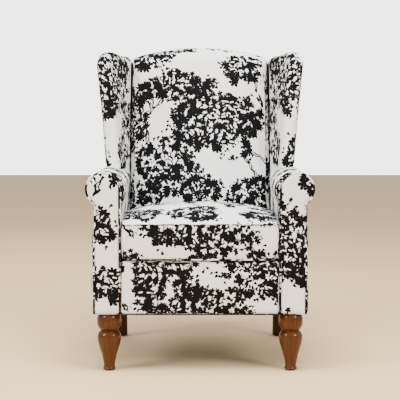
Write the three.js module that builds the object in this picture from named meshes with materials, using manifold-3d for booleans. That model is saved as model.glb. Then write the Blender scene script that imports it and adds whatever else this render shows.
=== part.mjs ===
// A wing armchair with rolled arms, a loose box seat cushion, turned front legs and square raked
// rear legs. Units are millimetres, +Z is up, the sitter looks along -Y, and left and right are as
// seen from the front. The origin is on the floor, in the middle of the chair's outline.
import * as THREE from "three";
import { mergeVertices } from "three/addons/utils/BufferGeometryUtils.js";
import Module from "manifold-3d";

const wasm = await Module();
wasm.setup();

// ---- Driving dimensions ----
const gap = 0.3; // between pieces that touch
const overallDepth = 770; // front of the cushion to the top of the outside back
const seatWidth = 517; // between the inside faces of the arms
const legHeight = 190; // floor to the underside of the body
const railHeight = 100;
const railThickness = 25;
const springCount = 4;
const springWire = 2; // radius of the wire
const springBow = 30; // how far the springs arch above the rails
const deckThickness = 32; // padded deck under the seat cushion
const cushionEdge = 116; // height of the cushion's boxing
const cushionCrown = 57; // rise of the cushion's middle above its front edge
const cushionSideRise = 24; // rise of the cushion's sides above its front edge
const cushionDepth = 526;
const cushionClearance = 1.3; // between the cushion and each arm, and the back
const armRadius = 56; // of the roll, over its cover
const armRise = 232; // the roll's axis above the underside of the seat cushion
const armThickness = 85.5; // inside face to outside face, below the roll
const neckRadius = 12; // hollow under the roll, where it meets the outside face
const weltRadius = 3.2; // covered piping round each arm's facing
const weltInset = 2.1; // the piping's centre lies this far inside the cover's outline
const weltClearance = 1.1; // between the piping and the facing
const facingThickness = 6;
const coverThickness = 2.5; // cloth with its wadding
const padInset = 6; // stuffing under a cover's outer face
const outsidePanel = 6; // padded outside arm panel
const outsideBack = 8.7; // padded outside back panel
const backHeight = 714; // top of the back in the middle, above the underside of the seat cushion
const archRise = 33; // how much lower the back's top is at its sides
const railCover = 24; // thickness of the back's stuffing over its top rail, at the sides
const backInset = 3; // between the back's sides and the faces of the arms
const lumbarRise = 135; // the back is upright up to this height above the cushion's underside
const insideRake = 0.255; // run back per unit of height, on the inside of the back
const kneeRise = 15; // the outside of the back is upright up to this height above the same
const outsideRun = 100; // how far the outside of the back leans over its whole height
const postDepth = 35; // front to back, of the wooden back frame
const postWidth = 35;
const postInset = 3.8; // from the inside face of an arm to the post in it
const boardThickness = 18; // plywood
const webbingHeight = 60;
const wingThickness = 50;
const wingFlareLow = 0.12; // run outwards per unit of run forwards, where the wing meets the arm
const wingFlareHigh = 0.215; // the same, at the wing's top
const wingReach = 164; // front edge of the wing ahead of the inside back, where it meets the arm
const wingFrontLean = 0.1; // run back of that edge per unit of height
const wingDrop = 19; // top of the wings below the top of the back
const wingRearWall = 5.7; // from a back post's side to the outside of the wing
const wingGap = 5; // dark line between the back and each wing
const apronDepth = 26;
const apronProud = 8; // the cushion's front stands this far in front of the apron
const frontLegIn = 46; // leg's axis inside the outside face of the arm
const frontLegInset = 52; // leg's axis behind the cushion's front
const rearLegIn = 46.5;
const rearLegWidth = 46;
const rearLegFoot = 40; // depth at the floor
const rearLegInset = 37; // top of the leg's axis in front of the outside of the back
const rearLegRake = 38; // how far its foot is behind its top
const glideHeight = 4;
const glideRadius = 15;
const boltRadius = 4;
const boltHoleClearance = 0.3;
const boltInLeg = 38; // how far a bolt goes down into its leg
const blockHeight = 60;
const blockDepth = 52;

// ---- Places worked out from them ----
const railBottom = legHeight + 4;
const railTop = railBottom + railHeight;
const deckBottom = railTop + springBow + 3 * springWire + 2;
const underCushion = deckBottom + deckThickness + 1;
const armCentreZ = underCushion + armRise;
const armTop = armCentreZ + armRadius;
const backTop = underCushion + backHeight;
const backShoulder = backTop - archRise;
const backOverhang = backShoulder - railCover;
const wingTop = backTop - wingDrop;
const lumbarZ = underCushion + lumbarRise;
const outsideKneeZ = underCushion + kneeRise;
const frontY = -overallDepth / 2; // front of the cushion
const rearTopY = overallDepth / 2; // outside of the back at its top
const armInX = seatWidth / 2;
const armOutX = armInX + armThickness;
const armCentreX = armInX + armRadius;
const backWidth = seatWidth - 2 * backInset;
const facingInset = weltInset + weltRadius + weltClearance;
const apronFrontY = frontY + apronProud;
const facingFrontY = apronFrontY + 2;
const boardFrontY = facingFrontY + facingThickness + gap;
const boardBackY = boardFrontY + boardThickness;
const coverFrontY = facingFrontY + 2 * weltRadius + 2 * gap;
const cushionRearY = frontY + cushionDepth;
const backSurfaceY = cushionRearY + cushionClearance; // inside back at and below the lumbar height
const outsideSlope = outsideRun / (backTop - outsideKneeZ);
const outsideBackY = rearTopY - outsideRun; // outside of the back below its knee
const insideLine = (z) => backSurfaceY + Math.max(0, z - lumbarZ) * insideRake;
const outsideLine = (z) => outsideBackY + Math.max(0, z - outsideKneeZ) * outsideSlope;
const frameBackLine = (z) => outsideLine(z) - outsideBack - gap;
const frameFrontLine = (z) => frameBackLine(z) - postDepth;
const padBackLine = (z) => frameFrontLine(z) - 2.5;
const armRearY = outsideBackY - outsideBack - gap;
const postInX = armInX + postInset;
const wingRearX = postInX + postWidth + wingRearWall;
const wingFrontLow = backSurfaceY - wingReach;
const sideRailX = armOutX - 26;
const frontLegX = armOutX - frontLegIn;
const frontLegY = frontY + frontLegInset;
const rearLegX = armOutX - rearLegIn;
const rearLegTopY = outsideBackY - rearLegInset;
const rearLegFootY = rearLegTopY + rearLegRake;
const postFootZ = railBottom + blockHeight + 11;

// ---- Materials ----
const finish = (color, roughness) => new THREE.MeshStandardMaterial({ color, roughness, metalness: 0 });
const cloth = finish(0xdcd8d3, 0.9);
const legWood = finish(0x6d3d17, 0.35);
const frameWood = finish(0xc9a877, 0.75);
const foam = finish(0xe9dfb8, 0.95);
const wadding = finish(0xf0efeb, 1);
const cambric = finish(0x17171a, 0.95);
const elastic = finish(0x3a3a3d, 0.85);
const plastic = finish(0x1c1c1e, 0.5);
const steel = new THREE.MeshStandardMaterial({ color: 0x8f9296, roughness: 0.4, metalness: 1 });

// ---- Solids ----
function solidOf(geometry) {
  const bare = geometry.index ? geometry.toNonIndexed() : geometry.clone();
  bare.deleteAttribute("normal");
  bare.deleteAttribute("uv");
  const merged = mergeVertices(bare, 1e-4);
  return new wasm.Manifold(
    new wasm.Mesh({
      numProp: 3,
      vertProperties: merged.attributes.position.array,
      triVerts: new Uint32Array(merged.index.array),
    }),
  );
}

function geometryOf(solid) {
  const mesh = solid.getMesh();
  return new THREE.BufferGeometry()
    .setAttribute("position", new THREE.BufferAttribute(mesh.vertProperties, 3))
    .setIndex(new THREE.BufferAttribute(mesh.triVerts, 1));
}

// The first geometry with the others taken away from it.
function cut(geometry, ...tools) {
  return geometryOf(tools.reduce((left, tool) => left.subtract(solidOf(tool)), solidOf(geometry)));
}

// What all the geometries have in common.
function common(...geometries) {
  return geometryOf(geometries.map(solidOf).reduce((a, b) => a.intersect(b)));
}

function polygon(points) {
  return new THREE.Shape(points.map(([x, y]) => new THREE.Vector2(x, y)));
}

function extrude(shape, depth, curveSegments = 12) {
  return new THREE.ExtrudeGeometry(shape, { depth, bevelEnabled: false, curveSegments });
}

// A plan outline (X, Y), from one height to another.
function alongZ(shape, low, high, curveSegments) {
  return extrude(shape, high - low, curveSegments).translate(0, 0, low);
}

// A front outline (X, Z), from one depth to another.
function alongY(shape, front, back, curveSegments) {
  return extrude(shape, back - front, curveSegments).rotateX(Math.PI / 2).translate(0, back, 0);
}

// A side outline (Y, Z), from one width to another.
function alongX(shape, from, to, curveSegments) {
  const turn = new THREE.Matrix4().makeBasis(
    new THREE.Vector3(0, 1, 0),
    new THREE.Vector3(0, 0, 1),
    new THREE.Vector3(1, 0, 0),
  );
  return extrude(shape, to - from, curveSegments).applyMatrix4(turn).translate(from, 0, 0);
}

function block(x0, x1, y0, y1, z0, z1) {
  return new THREE.BoxGeometry(x1 - x0, y1 - y0, z1 - z0).translate(
    (x0 + x1) / 2,
    (y0 + y1) / 2,
    (z0 + z1) / 2,
  );
}

function tube(points, radius, sides, steps) {
  const section = new THREE.Shape().absarc(0, 0, radius, 0, 2 * Math.PI);
  const path = new THREE.CatmullRomCurve3(points);
  return new THREE.ExtrudeGeometry(section, { extrudePath: path, steps, curveSegments: sides });
}

function turned(profile, segments) {
  const points = profile.map(([radius, z]) => new THREE.Vector2(radius, z));
  return new THREE.LatheGeometry(points, segments).rotateX(Math.PI / 2);
}

function place(group, name, geometry, material, x = 0, y = 0, z = 0) {
  const mesh = new THREE.Mesh(geometry, material);
  mesh.name = name;
  mesh.position.set(x, y, z);
  group.add(mesh);
  return mesh;
}

// ---- Legs, glides and leg bolts ----
// The bolt goes down into the leg and up through a corner block to its nut.
function legBolt() {
  const nut = 8;
  const nutHeight = 6;
  const top = railBottom - legHeight + blockHeight + gap;
  return turned(
    [
      [0, -boltInLeg],
      [boltRadius, -boltInLeg],
      [boltRadius, top],
      [nut, top],
      [nut, top + nutHeight],
      [0, top + nutHeight],
    ],
    12,
  );
}

function boltHole(bottom, top) {
  const radius = boltRadius + boltHoleClearance;
  return turned(
    [
      [0, bottom],
      [radius, bottom],
      [radius, top],
      [0, top],
    ],
    12,
  );
}

// A bun over a long vase that narrows to the foot. Radius and height as shares of the leg.
function frontLeg() {
  const bun = 39.6;
  const groove = 25.8;
  const grooveZ = 0.682 * legHeight;
  const top = legHeight - gap;
  const vase = new THREE.SplineCurve([
    new THREE.Vector2(0.5 * bun, glideHeight + gap),
    new THREE.Vector2(0.5 * bun, 0.045 * legHeight),
    new THREE.Vector2(0.428 * bun, 0.08 * legHeight),
    new THREE.Vector2(0.465 * bun, 0.135 * legHeight),
    new THREE.Vector2(0.57 * bun, 0.263 * legHeight),
    new THREE.Vector2(0.76 * bun, 0.395 * legHeight),
    new THREE.Vector2(0.965 * bun, 0.53 * legHeight),
    new THREE.Vector2(0.91 * bun, 0.61 * legHeight),
    new THREE.Vector2(groove, grooveZ),
  ]);
  const ball = new THREE.SplineCurve([
    new THREE.Vector2(groove, grooveZ),
    new THREE.Vector2(0.9 * bun, 0.75 * legHeight),
    new THREE.Vector2(bun, 0.85 * legHeight),
    new THREE.Vector2(0.95 * bun, 0.93 * legHeight),
    new THREE.Vector2(0.84 * bun, top),
  ]);
  const profile = [...vase.getPoints(14), ...ball.getPoints(7).slice(1)];
  const points = profile.map((p) => [p.x, p.y]);
  const body = turned([[0, glideHeight + gap], ...points, [0, top]], 20);
  return cut(body, boltHole(legHeight - boltInLeg - gap, legHeight + 1));
}

function rearLeg() {
  const top = legHeight - gap;
  const side = polygon([
    [rearLegFootY - rearLegFoot / 2, glideHeight + gap],
    [rearLegFootY + rearLegFoot / 2, glideHeight + gap],
    [rearLegTopY + rearLegWidth / 2, top],
    [rearLegTopY - rearLegWidth / 2, top],
  ]);
  const body = alongX(side, -rearLegWidth / 2, rearLegWidth / 2);
  const hole = boltHole(legHeight - boltInLeg - gap, legHeight + 1).translate(0, rearLegTopY, 0);
  return cut(body, hole);
}

function glide() {
  return turned(
    [
      [0, 0],
      [glideRadius - 1.5, 0],
      [glideRadius, 1.5],
      [glideRadius, glideHeight],
      [0, glideHeight],
    ],
    16,
  );
}

// The glued block in a corner of the seat frame that a leg's bolt goes up through.
function cornerBlock(x, y, front) {
  const top = railBottom + blockHeight;
  const body = block(postInX + gap, sideRailX - gap, front, front + blockDepth, railBottom, top);
  return cut(body, boltHole(legHeight, top + 1).translate(x, y, 0));
}

function addLegs(group, label) {
  place(group, `front_leg_${label}`, frontLeg(), legWood, frontLegX, frontLegY, 0);
  place(group, `rear_leg_${label}`, rearLeg(), legWood, rearLegX, 0, 0);
  const rearBlockFront = rearLegTopY - blockDepth / 2;
  const spots = [
    ["front", frontLegX, frontLegY, frontLegY, boardBackY + gap],
    ["rear", rearLegX, rearLegTopY, rearLegFootY, rearBlockFront],
  ];
  for (const [end, x, y, footY, blockFront] of spots) {
    place(group, `${end}_glide_${label}`, glide(), plastic, x, footY, 0);
    place(group, `${end}_leg_bolt_${label}`, legBolt(), steel, x, y, legHeight);
    place(group, `${end}_corner_block_${label}`, cornerBlock(x, y, blockFront), frameWood);
  }
}

// ---- Seat frame, springs and deck ----
function sinuousSpring() {
  const front = boardBackY + 6;
  const back = armRearY - 20;
  const swing = 22;
  const loops = 9;
  const points = [];
  for (let i = 0; i <= loops * 4; i += 1) {
    const t = i / (loops * 4);
    const x = swing * Math.sin((i * Math.PI) / 2);
    const z = railTop + springWire + gap + springBow * Math.sin(Math.PI * t);
    points.push(new THREE.Vector3(x, front + t * (back - front), z));
  }
  return tube(points, springWire, 2, 72);
}

function addSeat(group) {
  const railX = postInX - gap;
  const frontRailY = boardBackY + gap;
  const rearRailY = armRearY - 14 - railThickness;
  const rail = (y) => block(-railX, railX, y, y + railThickness, railBottom, railTop);
  place(group, "front_seat_rail", rail(frontRailY), frameWood);
  place(group, "rear_seat_rail", rail(rearRailY), frameWood);
  for (let i = 0; i < springCount; i += 1) {
    const pitch = seatWidth / springCount;
    place(group, `seat_spring_${i + 1}`, sinuousSpring(), steel, (i + 0.5) * pitch - seatWidth / 2);
  }
  const deckX = armInX - cushionClearance;
  const deck = block(-deckX, deckX, boardBackY, cushionRearY, deckBottom, deckBottom + deckThickness);
  place(group, "seat_deck_pad", deck, wadding);
  const sheetRearY = rearRailY + railThickness;
  const sheet = block(-sideRailX, sideRailX, boardBackY, sheetRearY, legHeight + 1, railBottom - gap);
  const legWells = [-1, 1].flatMap((side) => [
    boltHole(legHeight, railBottom).translate(side * frontLegX, frontLegY, 0),
    boltHole(legHeight, railBottom).translate(side * rearLegX, rearLegTopY, 0),
  ]);
  place(group, "dust_cover", cut(sheet, ...legWells), cambric);
}

function addApron(group) {
  const halfWidth = armInX + weltInset - weltRadius - gap;
  const rear = apronFrontY + apronDepth;
  const apron = block(-halfWidth, halfWidth, apronFrontY, rear, legHeight, underCushion - 1);
  place(group, "front_apron", apron, cloth);
}

// ---- Arms: an upright with a roll on top, seen from the front like a keyhole ----
function armPath(inset, foot, path = new THREE.Path()) {
  const roll = armRadius - inset;
  const hollow = neckRadius + inset;
  const reachX = armOutX + neckRadius - armCentreX;
  const theta = Math.acos(reachX / (armRadius + neckRadius));
  const neckZ = armCentreZ - (armRadius + neckRadius) * Math.sin(theta);
  path.moveTo(armInX + inset, foot);
  path.lineTo(armInX + inset, armCentreZ);
  path.absarc(armCentreX, armCentreZ, roll, Math.PI, -theta, true);
  path.absarc(armOutX + neckRadius, neckZ, hollow, Math.PI - theta, Math.PI, false);
  path.lineTo(armOutX - inset, foot);
  return path;
}

const armShape = (inset, foot) => armPath(inset, foot, new THREE.Shape());

// The space in front of the outside back's frame, where the arms end.
function armEnd(inset) {
  const high = armTop + 20;
  const side = polygon([
    [frontY, 0],
    [armRearY - inset, 0],
    [frameBackLine(outsideKneeZ) - inset, outsideKneeZ],
    [frameBackLine(high) - inset, high],
    [frontY, high],
  ]);
  return alongX(side, 0, overallDepth);
}

function armSolid(inset, foot, front, back, endInset = inset) {
  const long = alongY(armShape(inset, foot), front, back, 18);
  return back > armRearY ? common(long, armEnd(endInset)) : long;
}

// The height where the roll's underside meets the outside face.
function neckHeight() {
  const reachX = armOutX + neckRadius - armCentreX;
  return armCentreZ - Math.sqrt((armRadius + neckRadius) ** 2 - reachX ** 2);
}

function backPost(grow) {
  const top = backOverhang - 2;
  const side = polygon([
    [frameFrontLine(postFootZ) - grow, postFootZ - grow],
    [frameBackLine(postFootZ) + grow, postFootZ - grow],
    [frameBackLine(outsideKneeZ) + grow, outsideKneeZ],
    [frameBackLine(top) + grow, top + grow],
    [frameFrontLine(top) - grow, top + grow],
    [frameFrontLine(outsideKneeZ) - grow, outsideKneeZ],
  ]);
  return alongX(side, postInX - grow, postInX + postWidth + grow);
}

// Where the back's rails run between the posts: nothing of the arms or wings reaches in here.
function betweenPosts() {
  const low = railTop - 10;
  const high = backTop + 60;
  const side = polygon([
    [padBackLine(low) - gap, low],
    [high, low],
    [high, high],
    [padBackLine(high) - gap, high],
    [padBackLine(outsideKneeZ) - gap, outsideKneeZ],
  ]);
  return alongX(side, -1, postInX);
}

// Runs beside the back post, inside the arm's stuffing.
function armRail(grow) {
  const width = 32;
  const height = 20;
  const inX = postInX + postWidth + gap;
  const low = armCentreZ - 66;
  const front = boardBackY + gap;
  const rail = new THREE.BoxGeometry(width + 2 * grow, armRearY - 12 - front + 2 * grow, height + 2 * grow);
  return rail.translate(inX + width / 2, (armRearY - 12 + front) / 2, low + height / 2);
}

function armWelt() {
  const line = armPath(weltInset, legHeight + 2).getSpacedPoints(64);
  const y = facingFrontY + weltRadius;
  return tube(line.map((p) => new THREE.Vector3(p.x, y, p.y)), weltRadius, 3, 64);
}

// The cover goes up the inside, over the roll and under it to the neck. It is open below, and behind
// except over the roll's end.
function armCover() {
  const foot = railTop + 2;
  const skin = armSolid(0, foot, coverFrontY, rearTopY);
  const hollow = armSolid(coverThickness, foot - 1, coverFrontY - 1, rearTopY);
  const under = neckHeight();
  const outerWall = block(armCentreX, armOutX + 5, coverFrontY - 1, rearTopY, foot - 1, under);
  const rearWall = block(postInX, armCentreX + 1, armRearY - 9, rearTopY, foot - 1, under);
  return cut(skin, hollow, outerWall, rearWall, betweenPosts(), backPost(gap));
}

function addArm(group, label) {
  const board = armSolid(facingInset + 4, railBottom, boardFrontY, boardBackY);
  place(group, `arm_front_board_${label}`, board, frameWood);
  place(group, `arm_rail_${label}`, armRail(0), frameWood);
  const stuffing = armSolid(padInset, railTop + 5, boardBackY + gap, rearTopY);
  place(group, `arm_pad_${label}`, cut(stuffing, armRail(gap), betweenPosts(), backPost(gap)), foam);
  place(group, `arm_cover_${label}`, armCover(), cloth);

  const outsideX = armOutX + gap;
  const panelTop = neckHeight() - 1;
  const panel = block(outsideX, outsideX + outsidePanel, coverFrontY, rearTopY, legHeight, panelTop);
  place(group, `outside_arm_panel_${label}`, common(panel, armEnd(0)), cloth);
  const facing = armSolid(facingInset, legHeight, facingFrontY, facingFrontY + facingThickness);
  place(group, `arm_facing_${label}`, facing, cloth);
  place(group, `arm_welt_${label}`, armWelt(), cloth);
  const sideRail = block(sideRailX, sideRailX + 20, boardBackY + gap, armRearY - 14, railBottom, railTop);
  place(group, `side_seat_rail_${label}`, sideRail, frameWood);
}

// ---- Back ----
function archShape(halfWidth, foot, shoulder, top) {
  const rise = top - shoulder;
  const radius = (halfWidth ** 2 + rise ** 2) / (2 * rise);
  const sweep = Math.asin(halfWidth / radius);
  const shape = new THREE.Shape();
  shape.moveTo(-halfWidth, foot);
  shape.lineTo(halfWidth, foot);
  shape.lineTo(halfWidth, shoulder);
  shape.absarc(0, top - radius, radius, Math.PI / 2 - sweep, Math.PI / 2 + sweep, false);
  return shape;
}

// The back's stuffing or its cover. Behind, it lies on the webbing, and at its top it reaches back
// over the top rail. A hollow is taken out of it by a deeper one.
function backBolster(inset, foot, deeper) {
  const step = backOverhang + inset;
  const side = polygon([
    [insideLine(foot) + inset, foot],
    [padBackLine(foot) + deeper, foot],
    [padBackLine(outsideKneeZ) + deeper, outsideKneeZ],
    [padBackLine(step) + deeper, step],
    [frameBackLine(step) - inset, step],
    [frameBackLine(backTop + 1) - inset, backTop + 1],
    [insideLine(backTop + 1) + inset, backTop + 1],
    [insideLine(lumbarZ) + inset, lumbarZ],
  ]);
  const halfWidth = backWidth / 2 - inset;
  const front = archShape(halfWidth, foot - 1, backShoulder - inset, backTop - inset);
  return common(alongX(side, -halfWidth, halfWidth), alongY(front, backSurfaceY - 1, rearTopY + 1, 12));
}

function addBack(group) {
  const foot = railTop + 40;
  place(group, "back_pad", backBolster(padInset, foot, 0), foam);
  const hollow = backBolster(coverThickness, foot - 20, 20);
  place(group, "inside_back_cover", cut(backBolster(0, foot, 0), hollow), cloth);

  const tilt = -Math.atan(outsideSlope);
  const tiltedBar = (halfWidth, depth, height) =>
    new THREE.BoxGeometry(2 * halfWidth, depth, height).rotateX(tilt);
  const railX = postInX - gap;
  const barDepth = 22;
  const bars = [
    ["back_tuck_rail", underCushion + 116, 50],
    ["back_top_rail", backOverhang - 44, 80],
  ];
  for (const [name, z, height] of bars) {
    const y = frameBackLine(z) - barDepth / 2 - 1;
    place(group, name, tiltedBar(railX, barDepth, height), frameWood, 0, y, z);
  }
  const webbingHeights = [0.38, 0.66].map((share) => underCushion + share * backHeight);
  for (const [i, z] of webbingHeights.entries()) {
    const strap = tiltedBar(postInX - 1, 1.5, webbingHeight);
    place(group, `back_webbing_${i + 1}`, strap, elastic, 0, frameFrontLine(z) + 2, z);
  }

  const panelSide = polygon([
    [outsideLine(legHeight) - outsideBack, legHeight],
    [outsideLine(legHeight), legHeight],
    [outsideLine(outsideKneeZ), outsideKneeZ],
    [outsideLine(backTop), backTop],
    [outsideLine(backTop) - outsideBack, backTop],
    [outsideLine(outsideKneeZ) - outsideBack, outsideKneeZ],
  ]);
  const low = armOutX + outsidePanel;
  const high = wingRearX - 3;
  const frontOutline = new THREE.Shape();
  frontOutline.moveTo(-low, legHeight);
  frontOutline.lineTo(low, legHeight);
  frontOutline.lineTo(low, neckHeight() - 30);
  frontOutline.quadraticCurveTo(low, neckHeight() + 60, high, neckHeight() + 85);
  frontOutline.lineTo(high, backShoulder - 12);
  frontOutline.quadraticCurveTo(0, backTop + 34, -high, backShoulder - 12);
  frontOutline.lineTo(-high, neckHeight() + 85);
  frontOutline.quadraticCurveTo(-low, neckHeight() + 60, -low, neckHeight() - 30);
  const panel = common(
    alongX(panelSide, -low - 1, low + 1),
    alongY(frontOutline, outsideBackY - 20, rearTopY + 20, 14),
  );
  place(group, "outside_back_panel", panel, cloth);
}

// ---- Wings ----
// A closed solid through outlines of equally many points, one above another.
function loft(rings) {
  const count = rings[0].length;
  const faces = [];
  for (let r = 0; r + 1 < rings.length; r += 1) {
    for (let i = 0; i < count; i += 1) {
      const a = r * count + i;
      const b = r * count + ((i + 1) % count);
      faces.push(a, b, b + count, a, b + count, a + count);
    }
  }
  const last = (rings.length - 1) * count;
  const lid = (ring) => THREE.ShapeUtils.triangulateShape(ring.map((p) => new THREE.Vector2(p.x, p.y)), []);
  lid(rings[0]).forEach(([a, b, c]) => faces.push(a, c, b));
  lid(rings.at(-1)).forEach(([a, b, c]) => faces.push(last + a, last + b, last + c));
  return new THREE.BufferGeometry().setFromPoints(rings.flat()).setIndex(faces);
}

const wingFront = (z) => wingFrontLow + (z - armTop) * wingFrontLean;

// One plan of the wing: straight beside the back, then forwards and outwards to a rounded nose.
function wingRing(z, inset, rearY) {
  const share = (z - armTop) / (wingTop - armTop);
  const flare = wingFlareLow + share * (wingFlareHigh - wingFlareLow);
  const inX = backWidth / 2 + wingGap + inset;
  const kneeY = insideLine(z) + 10;
  const noseRadius = wingThickness / 2 - inset;
  const noseY = wingFront(z) + wingThickness / 2;
  const angle = Math.atan(flare);
  const noseX = inX + noseRadius + (kneeY - noseY) * flare;
  const at = (turn) => [noseX + noseRadius * Math.cos(turn), noseY + noseRadius * Math.sin(turn)];
  const nose = Array.from({ length: 7 }, (_, i) => at(Math.PI - angle + (i * Math.PI) / 6));
  const outX = Math.max(wingRearX - inset, inX + 2);
  const plan = [[outX, rearY], [inX, rearY], [inX, kneeY], ...nose, [inX + 2 * noseRadius, kneeY]];
  return plan.map(([x, y]) => new THREE.Vector3(x, y, z));
}

function wingBody(inset, outline) {
  const low = armCentreZ - 10;
  const levels = 4;
  const rings = Array.from({ length: levels + 1 }, (_, i) =>
    wingRing(low + (i / levels) * (wingTop + 10 - low), inset, rearTopY + 10),
  );
  const corner = new THREE.Shape();
  const outX = wingRearX + 90 - inset;
  corner.moveTo(0, 0);
  corner.lineTo(outX, 0);
  corner.lineTo(outX, wingTop - 90);
  corner.quadraticCurveTo(outX - 25, wingTop - inset, armCentreX + 5, wingTop - inset);
  corner.lineTo(0, wingTop - inset);
  return common(loft(rings), alongX(outline, 0, 500), alongY(corner, -200, rearTopY + 20));
}

// The wing from the side, with its top rounded down to its front edge.
function wingOutline(inset, foot, rearLine) {
  const front = wingFront(wingTop) + inset;
  const top = wingTop - inset;
  const shape = new THREE.Shape();
  shape.moveTo(wingFront(foot) - 8 + inset, foot);
  shape.lineTo(wingFront(top - 75) - 8 + inset, top - 75);
  shape.quadraticCurveTo(front - 2, top, front + 80, top);
  shape.bezierCurveTo(front + 120, top, front + 150, top - 6, front + 210, top - 7);
  shape.lineTo(rearLine(top - 7), top - 7);
  shape.lineTo(rearLine(foot), foot);
  return shape;
}

function wingCover() {
  const foot = armCentreZ + 20;
  const skin = wingBody(0, wingOutline(0, foot, frameBackLine));
  const open = wingOutline(coverThickness, foot - 20, (z) => frameBackLine(z) + 30);
  const hollow = wingBody(coverThickness, open);
  const arm = armSolid(-0.5, railTop, coverFrontY, rearTopY, -60);
  return cut(skin, hollow, arm, betweenPosts(), backPost(gap));
}

function wingBoard(grow) {
  const inset = (wingThickness - boardThickness) / 2 - grow;
  const foot = armTop + 14 - grow;
  return wingBody(inset, wingOutline(inset, foot, (z) => frameFrontLine(z) - 1 + grow));
}

function wingPad() {
  const body = wingBody(padInset, wingOutline(padInset, armTop + 4, (z) => frameFrontLine(z) - 2));
  return cut(body, wingBoard(gap));
}

function addWing(group, label) {
  place(group, `wing_cover_${label}`, wingCover(), cloth);
  place(group, `wing_board_${label}`, wingBoard(0), frameWood);
  place(group, `wing_pad_${label}`, wingPad(), foam);
  place(group, `back_post_${label}`, backPost(0), frameWood);
}

// ---- Seat cushion ----
// A box with rounded corners, crowned from front to back and from side to side.
function cushionForm(inset, corner) {
  const halfWidth = armInX - cushionClearance - inset;
  const y0 = frontY + inset;
  const y1 = cushionRearY - inset;
  const z0 = underCushion + inset;
  const edge = underCushion + cushionEdge - inset;
  const crown = edge + 2 * cushionCrown;
  const plan = new THREE.Shape();
  plan.moveTo(-halfWidth + corner, y0);
  plan.absarc(halfWidth - corner, y0 + corner, corner, -Math.PI / 2, 0);
  plan.absarc(halfWidth - corner, y1 - corner, corner, 0, Math.PI / 2);
  plan.absarc(-halfWidth + corner, y1 - corner, corner, Math.PI / 2, Math.PI);
  plan.absarc(-halfWidth + corner, y0 + corner, corner, Math.PI, 1.5 * Math.PI);
  const side = new THREE.Shape();
  side.moveTo(y0 - 1, z0);
  side.lineTo(y1 + 1, z0);
  side.lineTo(y1 + 1, edge);
  side.quadraticCurveTo((y0 + y1) / 2, crown, y0 - 1, edge);
  const across = new THREE.Shape();
  const shoulder = edge + cushionSideRise;
  across.moveTo(-halfWidth - 1, z0);
  across.lineTo(halfWidth + 1, z0);
  across.lineTo(halfWidth + 1, shoulder);
  across.quadraticCurveTo(0, crown - cushionSideRise, -halfWidth - 1, shoulder);
  return common(
    alongZ(plan, z0, crown, 5),
    alongX(side, -halfWidth - 1, halfWidth + 1),
    alongY(across, y0 - 1, y1 + 1),
  );
}

function addCushion(group) {
  const cover = cushionForm(0, 22);
  const inner = cushionForm(coverThickness, 20);
  const zip = block(-180, 180, cushionRearY - 10, cushionRearY + 1, underCushion + 50, underCushion + 58);
  place(group, "seat_cushion_cover", cut(cover, inner, zip), cloth);
  place(group, "seat_cushion_core", cushionForm(coverThickness + 2, 18), foam);
}

// ---- The chair ----
const chair = new THREE.Group();
addSeat(chair);
addApron(chair);
addBack(chair);
addCushion(chair);
for (const [side, label] of [[1, "right"], [-1, "left"]]) {
  const half = new THREE.Group();
  half.scale.x = side;
  addLegs(half, label);
  addArm(half, label);
  addWing(half, label);
  chair.add(half);
}

export default chair;
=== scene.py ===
"""A wing armchair with rolled arms, a loose seat cushion and turned legs, laid out as an add-on.

Every piece is modelled in place around the loaded frame, in metres, +Z up, with the sitter
looking along -Y. Left and right are as seen from the front.
"""
import math

import bmesh
import bpy
from bpy.props import FloatProperty, FloatVectorProperty, IntProperty, PointerProperty
from bpy.types import Operator, Panel, PropertyGroup
from mathutils import Matrix, Vector


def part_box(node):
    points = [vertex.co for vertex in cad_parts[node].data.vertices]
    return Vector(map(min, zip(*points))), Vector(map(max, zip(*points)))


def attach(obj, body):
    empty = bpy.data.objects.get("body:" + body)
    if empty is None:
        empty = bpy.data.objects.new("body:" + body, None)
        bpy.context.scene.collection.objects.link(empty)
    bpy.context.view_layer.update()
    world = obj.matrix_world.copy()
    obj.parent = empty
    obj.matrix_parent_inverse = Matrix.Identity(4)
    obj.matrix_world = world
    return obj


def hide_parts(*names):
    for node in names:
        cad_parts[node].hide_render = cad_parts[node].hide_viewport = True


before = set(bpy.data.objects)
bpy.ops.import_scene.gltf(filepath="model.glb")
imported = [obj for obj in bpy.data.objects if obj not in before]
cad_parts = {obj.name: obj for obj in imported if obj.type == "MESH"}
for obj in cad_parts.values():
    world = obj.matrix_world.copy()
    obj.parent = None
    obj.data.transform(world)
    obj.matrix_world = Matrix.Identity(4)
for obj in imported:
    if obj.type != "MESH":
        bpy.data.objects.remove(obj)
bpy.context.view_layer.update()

bl_info = {
    "name": "Wing Armchair",
    "version": (1, 0, 0),
    "blender": (4, 5, 0),
    "location": "View3D > Sidebar > Armchair",
    "description": "Models a wing armchair piece by piece around its frame",
    "category": "Add Mesh",
}

CHAIR = "frame"
CUSHION = "seat_cushion"
SIDES = {"right": 1, "left": -1}

# ---- Places, from the frame ----
cushion_low, cushion_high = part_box("seat_cushion_cover")
arm_low, arm_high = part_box("arm_cover_right")
panel_low, panel_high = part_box("outside_arm_panel_right")
facing_low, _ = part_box("arm_facing_right")
back_low, back_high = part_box("inside_back_cover")
wing_low, wing_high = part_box("wing_cover_right")
rear_low, rear_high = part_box("outside_back_panel")
apron_low, apron_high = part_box("front_apron")
_, post_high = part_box("back_post_right")

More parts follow.
